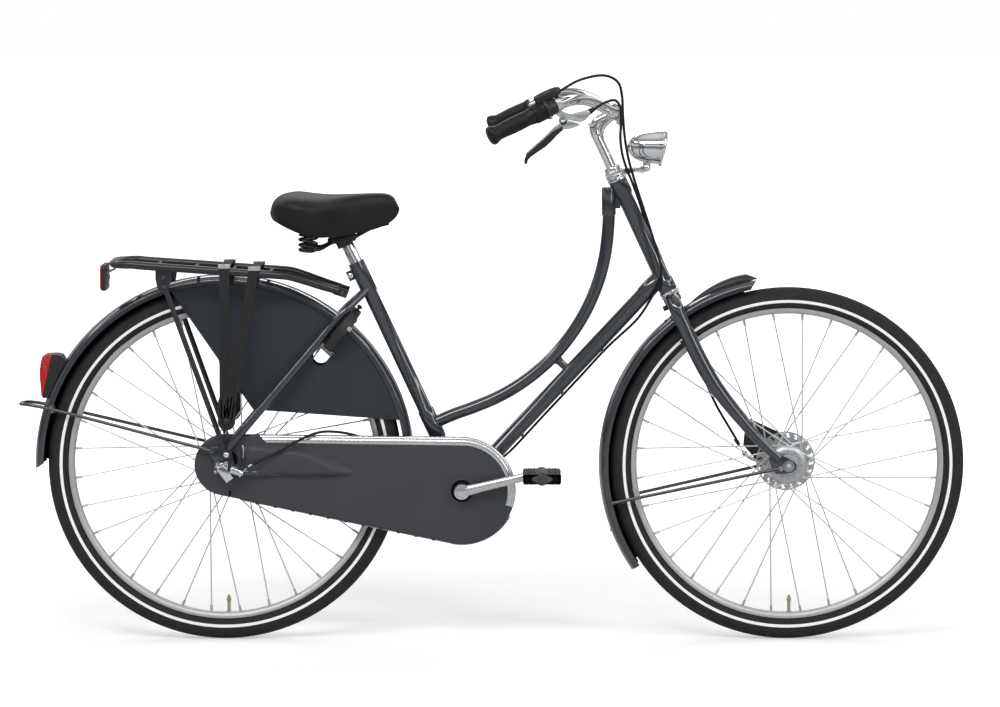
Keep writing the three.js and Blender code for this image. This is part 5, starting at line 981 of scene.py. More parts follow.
def carrier():
    form = Form()
    route = [
        (232, -49, 712.2), (200, -60, 722), (152, -74, 738), (132, -78.6, 743.4),
        (112, -80, rail_height(112)), (60, -80, rail_height(60)), (-60, -80, rail_height(-60)),
        (-160, -80, rail_height(-160)), (-180, -79.6, 766), (-195, -75.5, 766), (-207, -67, 766),
        (-215.5, -55, 766), (-220, -36, 766), (-220, 0, 766)
    ]
    right = smooth_path(route, 6)
    left = mirrored_path(right[:-1])
    put(form, sweep([*right, *left], 8, 24))
    for i in range(4):
        x = -131 + 75 * i
        put(form, sweep([
            (x, -78, rail_height(x)), (x, -60, rail_height(x)), (x, 60, rail_height(x)),
            (x, 78, rail_height(x))
        ], 4, 16))
    side = Form()
    put(side, sweep([
        (7, -72, 383), (-8, -73, 425), (-60, -76.4, 571), (-116, -80, 728), (-119, -80.2, 737)
    ], 5.5, 20, flat=0.85))
    outline = [
        (-132, 762), (-100, 762), (-101, 745), (-103, 728), (-106, 716), (-112, 711), (-122, 711),
        (-128, 719), (-132, 738)
    ]
    put(side, slab(outline, -84.5, -81))
    for x, z in ((-116, 741), (-114, 722)):
        put(side, turn([
            (0.1, -88.6), (3, -88.2), (4.2, -86.8), (4.4, -84.4)
        ], (x, 0, z), segments=20, mark=1))
    put(side, turn([(9, -75.6), (10, -74.6), (10, -69.6), (9, -68.6)], (7, 0, 383), segments=28))
    put(side, turn([
        (0.1, -79), (3.4, -78.6), (5.6, -77.2), (6.4, -75.6), (6.4, -74.6)
    ], (7, 0, 383), segments=24, mark=2))
    put(side, turn([(3.2, -74), (3.2, -61)], (7, 0, 383), segments=16, mark=2))
    put(side, brick((237, -48, 709), (28, 4.5, 17), -18))
    put(side, turn([(0.1, -54.4), (3.6, -54), (4.4, -52.6), (4.4, -50)], (240, 0, 708), segments=20, mark=1))
    form.join(side.both())
    show("rear_carrier", form, "frame", [CARRIER_PAINT, SATIN, CHROME], "satin_black", bevel=0.7, angle=40)


carrier()


def straps():
    form = Form()
    side_y = 89.8
    for x in (6, 66):
        top_z = rail_height(x - 12) + 8 + 1.8
        low = Vector((9 + (x - 36) * 0.12, 0, 458))
        run = Vector((x, 0, top_z)) - low
        lean = math.degrees(math.atan2(run.z, run.x))
        put(form, brick((x, 0, top_z), (20.5, 2 * side_y + 3, 2.4)))
        for ridge in (-6.6, 0, 6.6):
            put(form, brick((x + ridge, 0, top_z + 0.8), (4, 2 * side_y + 3.4, 2.4)))
        for side in (-1, 1):
            middle = low + run / 2 + Vector((0, side * side_y, 0))
            put(form, brick(middle, (run.length + 2, 2.4, 20.5), lean))
            across = Vector((-run.z, 0, run.x)).normalized()
            for ridge in (-6.6, 0, 6.6):
                put(form, brick(
                    middle + across * ridge + Vector((0, side * 0.8, 0)), (run.length + 2, 2.4, 4), lean
                ))
            for end in (-9.5, 0, 9.5):
                put(form, brick((x + end, side * 83, top_z + 2.6), (3, 15, 2.2), mark=1))
            for along in (-6.5, 6.5):
                put(form, brick((x, side * (83 + along), top_z + 2.2), (24, 2.2, 2.4), mark=1))
            put(form, brick((x, side * 91.9, top_z - 1.5), (24, 1.4, 5), mark=1))
    for side in (-1, 1):
        spread = [on_circle(9, 452, 17.5, a) for a in range(180, 361, 12)]
        outline = [(p.x, p.z) for p in spread] + [(27.5, 490), (20, 505), (9, 480), (-4, 505), (-8.5, 490)]
        put(form, slab(outline, *sorted((side * 88.2, side * 91.8))))
        put(form, turn(on_side(side, [
            (0.1, 97), (4, 96.4), (7, 94.6), (8.2, 92.4), (8.4, 91.4)
        ]), (9, 0, 452), segments=28, mark=2))
        put(form, brick((9, side * 83, 452), (10, 12, 10), mark=2))
    show("luggage_straps", form, "frame", [STRAP, CAST, PLASTIC], "strap_rubber", bevel=0.6, angle=40)


straps()


def tail_light():
    form = Form()
    lens = [
        (-368.5, 496), (-370.4, 520), (-371.4, 543), (-370, 562), (-366, 577), (-359, 580.6), (-346, 581),
        (-362, 512), (-365.5, 495)
    ]
    put(form, slab(lens, -25, 25, mark=1))
    shell = [
        (-346.4, 581), (-336, 581), (-328, 579), (-323.5, 572), (-320.5, 561), (-331.5, 544), (-344, 515),
        (-354, 493), (-366, 493), (-365.8, 497), (-362.4, 512)
    ]
    put(form, slab(shell, -26.5, 26.5))
    put(form, brick((-338, 0, 530), (10, 16, 30), 25))
    put(form, brick((-372, 0, 540), (1.4, 30, 26), 0, 2))
    show("tail_light", form, "frame", [PLASTIC, RED, RED], "lens", bevel=3.2, angle=30)


def rear_reflector():
    form = Form()
    x, z = -241, 737
    corners = rounded(47, 26, 8)

    def panel(low, high, shrink, mark):
        rings = [[Vector((px, cy * shrink, z + cz * shrink)) for cy, cz in corners] for px in (low, high)]
        put(form, skin(rings, mark=mark))

    panel(x - 3, x + 5.5, 1.0, 0)
    panel(x - 5.6, x - 2.8, 0.92, 1)
    put(form, sweep([
        (x + 3, 0, z + 8), (x + 12, 0, z + 12), (x + 20, 0, z + 15), (x + 21, 0, z + 20)
    ], 2.8, 14, mark=2))
    put(form, pin((x + 5, 0, z), (x + 11, 0, z), 5, 6, 2))
    put(form, pin((x + 9, 0, z - 12), (x + 4, 0, z - 12), 3.4, 16, 2))
    show("rear_reflector", form, "frame", [PLASTIC, RED, STEEL], "reflector", bevel=0.9, angle=40)


tail_light()
rear_reflector()


def ring_lock():
    def sector(form, inner, outer, start, end, low, high, mark=0, steps=36, ease=1.6):
        section = [
            (inner, low + ease), (inner + ease, low), (outer - ease, low), (outer, low + ease),
            (outer, high - ease), (outer - ease, high), (inner + ease, high), (inner, high - ease)
        ]
        rings = []
        for k in range(steps + 1):
            angle = math.radians(start + (end - start) * k / steps)
            rings.append([
                lock_place(x, -r * math.sin(angle), LOCK_RADIUS + r * math.cos(angle)) for r, x in section
            ])
        put(form, skin(rings, mark=mark))

    form = Form()
    low, high = 7.1, 27.1
    sector(form, 45.5, 63, -125, 125, low, high)
    sector(form, 44.8, 65.5, 38, 96, low - 1, high + 1.5, 0, 18, 3)
    sector(form, 44.8, 65.5, -70, -44, low - 0.5, high + 0.8, 0, 10, 3)
    for degrees in (67, -57):
        angle = math.radians(degrees)
        eye = lock_place(high, -66 * math.sin(angle), LOCK_RADIUS + 66 * math.cos(angle))
        outward = (
            lock_place(high, -80 * math.sin(angle), LOCK_RADIUS + 80 * math.cos(angle)) - eye
        ).normalized()
        put(form, pin(eye - outward * 4, eye + outward * 1.4, 5.4, 24, 1))
    for degrees in (-20, 20):
        angle = math.radians(degrees)
        foot = lock_place(low, -54 * math.sin(angle), LOCK_RADIUS + 54 * math.cos(angle))
        near = lock_place(low - 6, -54 * math.sin(angle), LOCK_RADIUS + 54 * math.cos(angle))
        put(form, pin(near, foot, 5, 16, 1))
    show("lock_body", form, "frame", [PLASTIC, STEEL], "black_plastic", angle=35)

    form = Form()
    sector(form, 49.8, 58.2, -4, 121, 12.9, 21.3, 0, 30, 2.6)
    sector(form, 56, 69, -3.4, 3.4, 14.4, 19.8, 1, 4, 1.4)
    sector(form, 66, 72, -5.2, 5.2, 11.5, 22.7, 1, 6, 2)
    show("lock_bolt", form, "lock_bolt", [STEEL, PLASTIC], "steel", angle=35)


ring_lock()

# Chain case and drive


def belt(rear, rear_radius, front, front_radius, steps=36):
    """The outline round two circles."""
    dx, dz = front[0] - rear[0], front[1] - rear[1]
    tilt = math.degrees(math.atan2(dz, dx))
    flare = math.degrees(math.asin((front_radius - rear_radius) / math.hypot(dx, dz)))
    points = []
    for k in range(steps + 1):
        points.append(on_circle(*front, front_radius, tilt - 90 - flare + (180 + 2 * flare) * k / steps))
    for k in range(steps + 1):
        points.append(on_circle(*rear, rear_radius, tilt + 90 + flare + (180 - 2 * flare) * k / steps))
    return [(p.x, p.z) for p in points]


CASE_REAR = (3, 360)
CASE_FRONT = (BRACKET[0], BRACKET[2])
CASE_REAR_RADIUS = 62
CASE_FRONT_RADIUS = 108


def case_rings(layers):
    """Rings of the case's outline, each with its place across and its inset."""
    rings = []
    for y, inset in layers:
        outline = belt(CASE_REAR, CASE_REAR_RADIUS - inset, CASE_FRONT, CASE_FRONT_RADIUS - inset)
        rings.append([Vector((x, y, z)) for x, z in outline])
    return rings


def chain_case_outer():
    form = Form()
    put(form, skin(case_rings([(-42.2, 0.4), (-43, 0), (-50.4, 0), (-52.4, 0.8), (-53.6, 2.4), (-54, 4.6)])))
    tear = smooth_path([
        (33, 0, 368), (34, 0, 392), (44, 0, 403), (100, 0, 403), (150, 0, 396), (192, 0, 384), (230, 0, 366),
        (258, 0, 351), (266, 0, 344), (258, 0, 339), (200, 0, 337), (120, 0, 334), (60, 0, 332),
        (40, 0, 338), (33, 0, 350), (33, 0, 368)
    ], 5)[:-1]
    heart = Vector((110, 0, 362))
    rings = []
    for y, inset in (
        (-53.4, 0), (-54.6, 1.5), (-57, 4.6), (-60.5, 8.6), (-63.6, 13), (-65.4, 17.5), (-66.2, 22)
    ):
        ring = []
        for spot in tear:
            away = spot - heart
            ring.append(heart + away * (1 - inset / max(30, min(away.length, 60))) + Vector((0, y, 0)))
        rings.append(ring)
    put(form, skin(rings))
    dx, dz = CASE_FRONT[0] - CASE_REAR[0], CASE_FRONT[1] - CASE_REAR[1]
    under = math.degrees(math.atan2(dz, dx)) - 90 - math.degrees(
        math.asin((CASE_FRONT_RADIUS - CASE_REAR_RADIUS) / math.hypot(dx, dz))
    )
    edge = [
        between(
            on_circle(*CASE_REAR, 64, under, -43), on_circle(*CASE_FRONT, 110, under, -43),
            0.09 + 0.91 * k / 12
        )
        for k in range(12)
    ]
    edge += [on_circle(*CASE_FRONT, 110, under + k * 6, -43) for k in range(13)]
    put(form, sweep(edge, 1.2, 8, mark=3))
    for k in range(1, 12):
        spot = edge[k]
        put(form, brick(spot - Vector((0, 1, 0)), (6, 5, 3.6), -11.7))
    for k in range(1, 25):
        spot = on_circle(*CASE_FRONT, 110, under + k * 3, -44)
        put(form, brick(spot, (3, 4, 3), under + 90 + k * 3))
    put(form, turn([
        (25.5, -53.6), (25.5, -55), (24.6, -55.6), (22.6, -55.4), (22.2, -54)
    ], BRACKET, segments=56))
    # Near-black painted shade: a disc in the bracket opening, a block low at the rear and a notch round the
    # axle
    put(form, turn([(0.1, -54.25), (22.4, -54.25), (22.4, -53)], BRACKET, segments=48, mark=1))
    put(form, turn([(0.1, -54.6), (3.4, -54.4), (4.4, -53.8)], (3, 0, 326), segments=24))
    put(form, brick((13, -52.5, 302.5), (4, 4.5, 10), 5, 1))
    notch = belt((-8, 372), 15, (12, 372), 17, 12)
    put(form, slab(notch, -54.7, -53.4, mark=1))
    tab = [(38, 0, 401), (40.5, 0, 392), (41, 0, 382), (40, 0, 374)]
    put(form, sweep([(x, -56, z) for x, _, z in tab], 2.6, 12, mark=2, ends=1))
    show("chain_case_outer", form, "frame", [SATIN, PAINTED_SHADE, CAST, CAST], "satin_black", angle=45)


def chain_case_inner():
    form = Form()
    put(form, skin(case_rings([(-36, 3), (-36.5, 1), (-38, 0), (-41.6, 0), (-41.9, 0.4)])))
    show("chain_case_inner", form, "frame", [SATIN], "satin_black", angle=45, carve=case_holes())


def chain_case_trim():
    # The bright trim has two ridges and turns over the case's top edge
    section = [
        (-0.7, -43), (-0.9, -51), (-0.2, -53.6), (1.5, -55), (3.6, -55.6), (5.2, -55.2), (6, -54.5),
        (7.2, -55.1), (9, -55.8), (14, -55.8), (15.6, -55.2), (16.2, -54.1), (12, -53.9), (4, -53.8),
        (0, -51)
    ]
    dx, dz = CASE_FRONT[0] - CASE_REAR[0], CASE_FRONT[1] - CASE_REAR[1]
    tilt = math.degrees(math.atan2(dz, dx))
    flare = math.degrees(math.asin((CASE_FRONT_RADIUS - CASE_REAR_RADIUS) / math.hypot(dx, dz)))
    top = tilt + 90 + flare
    stations = []
    first = on_circle(*CASE_REAR, CASE_REAR_RADIUS, top)
    last = on_circle(*CASE_FRONT, CASE_FRONT_RADIUS, top)
    normal = Vector((math.cos(math.radians(top)), 0, math.sin(math.radians(top))))
    begin = (73 - first.x) / (last.x - first.x)
    for k in range(12):
        stations.append((between(first, last, begin + (1 - begin) * k / 12), normal))
    for k in range(61):
        degrees = top + (-18 - top) * k / 60
        outward = Vector((math.cos(math.radians(degrees)), 0, math.sin(math.radians(degrees))))
        stations.append((on_circle(*CASE_FRONT, CASE_FRONT_RADIUS, degrees), outward))
    rings = []
    for index, (spot, outward) in enumerate(stations):
        ring = []
        for inset, y in section:
            lean = inset * 0.9 if index == 0 else 0
            ring.append(spot - outward * inset + Vector((lean, y, 0)))
        rings.append(ring)
    form = Form()
    put(form, skin(rings))
    piece("chain_case_trim", form, "frame", [ALLOY], "chrome", angle=45)


def case_holes():
    form = Form()
    put(form, pin((480, -60, 308), (480, -30, 308), 21.7, 40))
    put(form, pin((0, -60, AXLE_Z), (0, -30, AXLE_Z), 21.2, 40))
    route = [(336, -32, 322), (240, -35.6, 332), (144, -47, 342), (77, -59, 345)]
    put(form, sweep(smooth_path(route, 4), 8.4, 16))
    return form


chain_case_outer()
chain_case_inner()
chain_case_trim()


def rear_axle():
    form = Form()
    put(form, pin((0, -71.8, AXLE_Z), (0, 71.8, AXLE_Z), 4.9, 24))
    for side in (-1, 1):
        put(form, turn(on_side(side, [
            (5, 64.8), (10.4, 64.8), (10.4, 66.2), (5, 66.2)
        ]), REAR_AXLE, segments=32, loop=True))
        put(form, pin((0, side * 66.2, AXLE_Z), (0, side * 71.4, AXLE_Z), 9.5, 6, 0, 0.08))
    put(form, pin((0, -59.7, AXLE_Z), (0, -44, AXLE_Z), 9.5, 24))
    put(form, pin((0, 52.3, AXLE_Z), (0, 59.7, AXLE_Z), 9.5, 24))
    put(form, turn([
        (9, 52.4), (21, 52.4), (22, 53.2), (22, 54), (21, 54.8), (9, 54.8)
    ], REAR_AXLE, segments=48, loop=True))
    put(form, slab([
        (0, AXLE_Z + 11), (60, AXLE_Z + 6), (108, AXLE_Z), (112, AXLE_Z - 3), (108, AXLE_Z - 6),
        (60, AXLE_Z - 6), (0, AXLE_Z - 6)
    ], 52.3, 54.8))
    put(form, pin((104, 51, AXLE_Z - 3), (104, 57.6, AXLE_Z - 3), 4, 6, 0, 0.1))
    show("rear_axle", form, "frame", [STEEL], "steel", angle=32)


def bell_crank_unit():
    form = Form()
    y = -80
    put(form, turn([
        (0.1, -85.6), (9, -85.4), (11, -84), (11.6, -80), (11.6, -72.3)
    ], REAR_AXLE, segments=40))
    put(form, brick((5, y, 346), (17, 14, 33), 36))
    put(form, brick((-4, y + 0.5, 361), (20, 12, 9), -10))
    put(form, brick((6, y, 366), (9, 11, 8), 20))
    put(form, sweep([
        (14, y, 356), (24, y, 352), (34, y, 348), (42, y, 345)
    ], [9.5, 9, 7.4, 5.6], 28, ends=0.5))
    put(form, turn(
        [(6.6, 36), (7.6, 37), (7.6, 40), (6.6, 41)], Vector((0, y, 358.6)), (0.94, 0, -0.34), 24
    ))
    put(form, sweep([(42, y, 350), (48, -80.5, 357)], [3.6, 3.2], 16, mark=1, ends=0.5))
    put(form, orb((-14.5, y, 349), 4.4, 18, mark=1))
    put(form, sweep([(-13, y, 350), (-4, y, 352)], 2.2, 12, mark=1))
    for k in range(5):
        put(form, brick((-9 + k * 4.2, -86.6, 368 - k * 0.9), (2, 1.6, 6), 10, 1))
    show("bell_crank_unit", form, "frame", [CHROME, STEEL], "steel", bevel=1.5, angle=35)


rear_axle()
bell_crank_unit()


def cranks():
    for side, word, degrees in ((-1, "right", 13.4), (1, "left", 193.4)):
        form = Form()
        middle = side * 71
        boss = 39 if side < 0 else 37
        eye = on_circle(BRACKET[0], BRACKET[2], CRANK_LENGTH, degrees, middle)
        centre = Vector((BRACKET[0], middle, BRACKET[2]))
        normal = Vector((-math.sin(math.radians(degrees)), 0, math.cos(math.radians(degrees))))
        stations = [0, 0.06, 0.12, 0.2, 0.35, 0.5, 0.65, 0.8, 0.9, 1]
        wide = [12, 11.6, 11, 10.3, 9.6, 9.1, 8.8, 8.8, 9.4, 10]
        path = [between(centre, eye, s) for s in stations]
        put(form, sweep(path, wide, 28, flat=0.66, up=normal))
        put(form, turn([
            (8.8, side * boss), (15, side * boss), (16, side * (boss + 1)), (16, side * 76),
            (15, side * 77.6), (12.6, side * 78), (12.2, side * 77.4), (11.6, side * 77.4),
            (11.2, side * 78.2), (6, side * 79), (0.1, side * 79.3)
        ], BRACKET, segments=48))
        put(form, turn(on_side(side, [
            (5, 64), (11.6, 64), (12.6, 65), (12.6, 77), (11.6, 78), (5, 78)
        ]), (eye.x, 0, eye.z), segments=40, loop=True))
        put(form, turn(on_side(side, [
            (5.4, 78), (7.4, 78.4), (7.4, 80), (5, 80.6), (5, 170), (0.1, 171)
        ]), (eye.x, 0, eye.z), segments=24, mark=1))
        show(f"crank_{word}", form, "crank", [ALLOY, STEEL], "alloy", angle=40)
        pedal(side, word, eye)


def pedal(side, word, eye):
    form = Form()
    x, z = eye.x, eye.z
    near, far = side * 81.5, side * 175
    put(form, slab(rounded(37.5, 9.4, 4.5, x, z), *sorted((near, far))))
    for a, b in ((near, near + side * 6), (far - side * 6, far)):
        put(form, slab(rounded(38.2, 10.6, 4.6, x, z), *sorted((a, b))))
    for k in range(8):
        y = near + side * (12 + k * 9.6)
        for up in (-1, 1):
            for end in (-1, 1):
                for step in range(4):
                    spot = (
                        x + end * (15 + step * 6.2), y + side * (2.4 if step % 2 else -2.4), z + up * 10.2
                    )
                    put(form, brick(spot, (4.4, 4, 4.8), end * up * 12))
    put(form, turn([
        (6, near - side * 0.4), (12.4, near), (13.4, near + side * 2), (13.4, far - side * 2), (12.4, far),
        (6, far + side * 0.4)
    ], (x, 0, z), segments=40))
    # Near-black recesses in the outer end plate, painted shade
    for end in (-1, 1):
        put(form, slab([
            (x + end * 12, z - 6.4), (x + end * 33.6, z - 6.4), (x + end * 33.6, z + 5.6),
            (x + end * 12, z + 5.6)
        ], *sorted((far - side * 3, far + side * 0.35)), mark=1))
    lens = []
    for k in range(40):
        angle = 2 * math.pi * k / 40
        lens.append((x + 20.5 * math.cos(angle), z + 8 * math.sin(angle)))
    put(form, slab(lens, *sorted((far - side * 2, far + side * 0.9))))
    put(form, turn([
        (0.1, far + side * 1.9), (8.2, far + side * 1.8), (9.2, far + side * 1.2), (9.4, far)
    ], (x, 0, z), segments=40))
    show(f"pedal_{word}", form, f"pedal_{word}", [PEDAL, PAINTED_SHADE], "black_plastic", angle=38)


cranks()

# Seat

SADDLE_TOP = [
    (0, 0.576), (0.028, 0.828), (0.082, 0.955), (0.164, 1.02), (0.221, 1.03), (0.336, 0.992), (0.45, 0.967),
    (0.573, 0.972), (0.7, 0.987), (0.82, 0.997), (0.9, 0.985), (0.95, 0.917), (0.978, 0.778), (1, 0.64)
]
SADDLE_SKIRT = [
    (0, 0.53), (0.023, 0.412), (0.073, 0.33), (0.157, 0.205), (0.246, 0.094), (0.35, 0.004), (0.42, -0.006),
    (0.54, 0.01), (0.667, 0.07), (0.8, 0.152), (0.894, 0.263), (0.951, 0.374), (0.983, 0.483), (1, 0.6)
]
SADDLE_WIDE = [
    (0, 0.3), (0.03, 0.6), (0.08, 0.81), (0.15, 0.95), (0.22, 1), (0.31, 0.97), (0.4, 0.85), (0.5, 0.62),
    (0.6, 0.42), (0.7, 0.3), (0.8, 0.25), (0.9, 0.22), (0.96, 0.17), (1, 0.08)
]


SADDLE_REAR = 95
SADDLE_LENGTH = 259
SADDLE_HALF = 106
SADDLE_BASE = 822
SADDLE_HEIGHT = 84
SPRING_X = 170
SPRING_Y = 62


def reading(table, share):
    """The value of a table of shares at one share, on a smooth curve."""
    path = smooth_path([(a * 100, 0, v * 100) for a, v in table], 8)
    for a, b in zip(path, path[1:]):
        if share * 100 <= b.x:
            return (a.z + (b.z - a.z) * max(0, share * 100 - a.x) / max(b.x - a.x, 0.001)) / 100
    return path[-1].z / 100


def saddle_cover():
    rings = []
    for step in range(61):
        share = 0.5 - 0.5 * math.cos(math.pi * step / 60)
        x = SADDLE_REAR + share * SADDLE_LENGTH
        half = reading(SADDLE_WIDE, share) * SADDLE_HALF
        high = SADDLE_BASE + reading(SADDLE_TOP, share) * SADDLE_HEIGHT
        low = SADDLE_BASE + reading(SADDLE_SKIRT, share) * SADDLE_HEIGHT
        middle = low + (high - low) * 0.52
        ring = []
        for k in range(56):
            angle = 2 * math.pi * k / 56
            c, s = math.cos(angle), math.sin(angle)
            c = math.copysign(abs(c) ** 0.72, c)
            wide = c
            if s >= 0:
                z = middle + s**0.8 * (high - middle)
            else:
                down = min(1, abs(s) / 0.46)
                z = middle - down**0.62 * (middle - low + 2.4)
                z += 13 * max(0, 1 - abs(c) / 0.88) ** 0.6 * min(1, (high - low) / 60)
                wide = c * (1 - 0.07 * down)
            ring.append(Vector((x, wide * half, z)))
        rings.append(ring)
    form = Form()
    put(form, skin(rings))
    for side in (-1, 1):
        put(form, turn([(13, -12), (14, -10), (14, 8)], (SPRING_X, side * SPRING_Y, 838), (0, 0, 1), 28, 1))
    cover = show("saddle_cover", form, "seat", [LEATHER, PLASTIC], "leather", angle=50, levels=1)


def seat_post():
    form = Form()
    put(form, turn(
        [(12.7, 0), (12.7, 250), (12, 251.5), (0.1, 251.5)], towards(SEAT_TOP, BRACKET, 196),
        Vector(SEAT_TOP) - Vector(BRACKET), 40
    ))
    show("seat_post", form, "seat", [CHROME], "alloy", angle=45)


def saddle_frame():
    form = Form()
    seat_z = 798.5
    put(form, brick((238, 0, 812.5), (56, 50, 12), 9))
    put(form, brick((242, 0, 806), (30, 30, 16), 25))
    for side in (-1, 1):
        put(form, turn(on_side(side, [(0.1, 32), (7, 31), (8, 29), (8, 25)]), (240, 0, 812), segments=6))
        route = [
            (160, side * 60, seat_z - 3.5), (170, side * 62, seat_z - 3.5), (194, side * 49.6, seat_z - 3.5),
            (222, side * 22, 808), (259, side * 20.8, 815), (276, side * 17, 824), (300, side * 11, 836),
            (333, side * 6.5, 845)
        ]
        put(form, sweep(smooth_path(route, 8), 3.5, 16))
        put(form, turn(
            [(15, -3.6), (17.4, -2.6), (17.4, 0), (6, 0)], (SPRING_X, side * SPRING_Y, seat_z), (0, 0, 1), 32
        ))
    put(form, sweep(smooth_path([
        (162, -60, 794.8), (158, -30, 795), (157, 0, 795), (158, 30, 795), (162, 60, 794.8)
    ], 6), 3.2, 14))
    base = [(118, 44), (140, 62), (170, 70), (205, 58), (250, 28), (300, 11)]
    ring_low = []
    for x, half in base + [(x, -half) for x, half in reversed(base)]:
        skirt = 829 + reading(SADDLE_SKIRT, (x - SADDLE_REAR) / SADDLE_LENGTH) * SADDLE_HEIGHT
        ring_low.append(Vector((x, half, max(836, skirt))))
    put(form, skin([ring_low, [v + Vector((0, 0, 8)) for v in ring_low]], mark=2))
    show("saddle_frame", form, "seat", [DARK_STEEL, STEEL, PLASTIC], "steel", bevel=1.2, angle=40)


def saddle_springs():
    for side, word in ((-1, "right"), (1, "left")):
        form = Form()
        turns, per = 3.6, 26
        count = int(turns * per)
        coil = []
        for k in range(count + 1):
            angle = 2 * math.pi * k / per
            rise = min(1, max(0, (k / count - 0.06) / 0.88))
            radius = 15.4 - 1.2 * abs(2 * k / count - 1) ** 2
            coil.append((
                SPRING_X + radius * math.cos(angle), side * (SPRING_Y + radius * math.sin(angle)),
                792 + 33 * rise
            ))
        put(form, sweep(coil, 2.4, 12))
        show(f"saddle_spring_{word}", form, "seat", [DARK_STEEL], "chrome", angle=50)


saddle_cover()
seat_post()
saddle_frame()
saddle_springs()

# Steering

AXIS = (Vector(HEAD_HIGH) - Vector(HEAD_LOW)).normalized()


def on_axis(length):
    """A point on the steering axis above the top of the head tube."""
    return Vector(HEAD_HIGH) + AXIS * length


def fork():
    form = Form()
    put(form, turn([(12.7, 0), (12.7, head_length + 30)], HEAD_LOW, AXIS, 32, mark=1))
    put(form, turn([(13, -21), (17.6, -20), (18.6, -14), (17.6, -9), (18.6, -7)], HEAD_LOW, AXIS, 40))
    put(form, turn([
        (18.6, -7), (20, -6.2), (20.4, -4.4), (18.6, -3.4), (18.6, -1.6), (20.6, -0.6), (20.8, 3.4),
        (19.8, 4.6), (12, 4.8)
    ], HEAD_LOW, AXIS, 48, mark=1))
    crown = Vector(HEAD_LOW) - AXIS * 20
    angle = math.atan2(crown.z - AXLE_Z, crown.x - WHEELBASE)
    seat = on_circle(WHEELBASE, AXLE_Z, FRONT_GUARD + 1, math.degrees(angle))
    put(form, pin(crown, seat, 8, 20))
    put(form, pin((crown.x - 10, 0, crown.z - 10), (crown.x - 21, 0, crown.z - 15), 5.2, 6, 2, 0.1))
    blade = [
        (902.4, 697, -6, 13.4), (904, 693, -22, 14), (907.4, 685, -36, 14.6), (912.4, 673, -43.6, 14.8),
        (929.5, 635, -45.8, 14.8), (945.2, 600, -46.6, 15.3), (962.8, 565, -47.6, 15.5),
        (984, 528, -48.8, 14.8), (1009.5, 492, -50.2, 13.4), (1046, 447, -52.2, 11.8),
        (1092, 397, -54.8, 10), (1122, 371, -56.4, 8.4)
    ]
    path = smooth_path([(x, y, z) for x, z, y, _ in blade], 8)
    girth = smooth_path([(k * 10, 0, r) for k, (_, _, _, r) in enumerate(blade)], 8)
    side = Form()
    put(side, sweep(path, [g.z * 0.82 for g in girth], 30, flat=1.22, up=(0, 1, 0), ends=0.5))
    put(side, slab([
        (1104, 384), (1118, 383), (1136, 374), (1150, 366), (1154.6, 360), (1153, 351), (1146, 345),
        (1134, 342.6), (1114, 342.4), (1106, 347), (1103, 356), (1098, 372)
    ], -55.4, -50.4))
    put(side, turn([
        (0.1, -58.4), (3, -58.2), (4, -57.2), (4.2, -55.2)
    ], (1109, 0, 351), segments=20, mark=1))
    put(side, brick((924, -52, 606), (12, 6, 7), -62, 2))
    form.join(side.both())
    show("fork", form, "steering", [PAINT, CHROME, PLASTIC], "paint", bevel=0.6, angle=42)


def front_axle():
    form = Form()
    put(form, pin((WHEELBASE, -62.7, AXLE_Z), (WHEELBASE, 62.7, AXLE_Z), 4.9, 24))
    for side in (-1, 1):
        put(form, turn(on_side(side, [
            (5, 55.6), (11.4, 55.6), (11.4, 57.2), (5, 57.2)
        ]), FRONT_AXLE, segments=36, loop=True))
        put(form, pin((WHEELBASE, side * 57.2, AXLE_Z), (WHEELBASE, side * 62.3, AXLE_Z), 9.4, 6, 0, 0.1))
        put(form, turn(on_side(side, [
            (0.1, 63.4), (3.4, 63.2), (4.6, 62.6), (4.9, 61.6)
        ]), FRONT_AXLE, segments=24, mark=1))
    put(form, pin((WHEELBASE, -50.1, AXLE_Z), (WHEELBASE, -48.3, AXLE_Z), 9.5, 28))
    put(form, pin((WHEELBASE, 47.3, AXLE_Z), (WHEELBASE, 50.1, AXLE_Z), 9.5, 28))
    show("front_axle", form, "steering", [STEEL, CAST], "steel", angle=32)


def front_brake_plate():
    form = Form()
    put(form, turn([
        (5.5, 40.4), (42, 40.4), (44, 41.6), (44, 44), (40, 46.6), (5.5, 47)
    ], FRONT_AXLE, segments=56, loop=True))
    outline = [
        (1051.8, 390), (1057, 443), (1061, 446), (1126, 416), (1150, 392), (1150, 340), (1120, 330),
        (1081, 356.5)
    ]
    put(form, slab(outline, 40.4, 43.4))
    put(form, pin((1052, 38, 424), (1052, 47, 424), 5, 6, 1, 0.1))
    put(form, sweep([
        (1107, 45, AXLE_Z), (1085, 48, 356), (1068, 51, 362), (1060, 52.6, 367)
    ], [4.2, 4, 3.8, 3.6], 16, mark=1))
    put(form, orb((1056, 53, 371), 5.6, 20, mark=1))
    show("front_brake_plate", form, "steering", [PLASTIC, STEEL], "alloy", bevel=0.8, angle=35)


fork()
front_axle()
front_brake_plate()


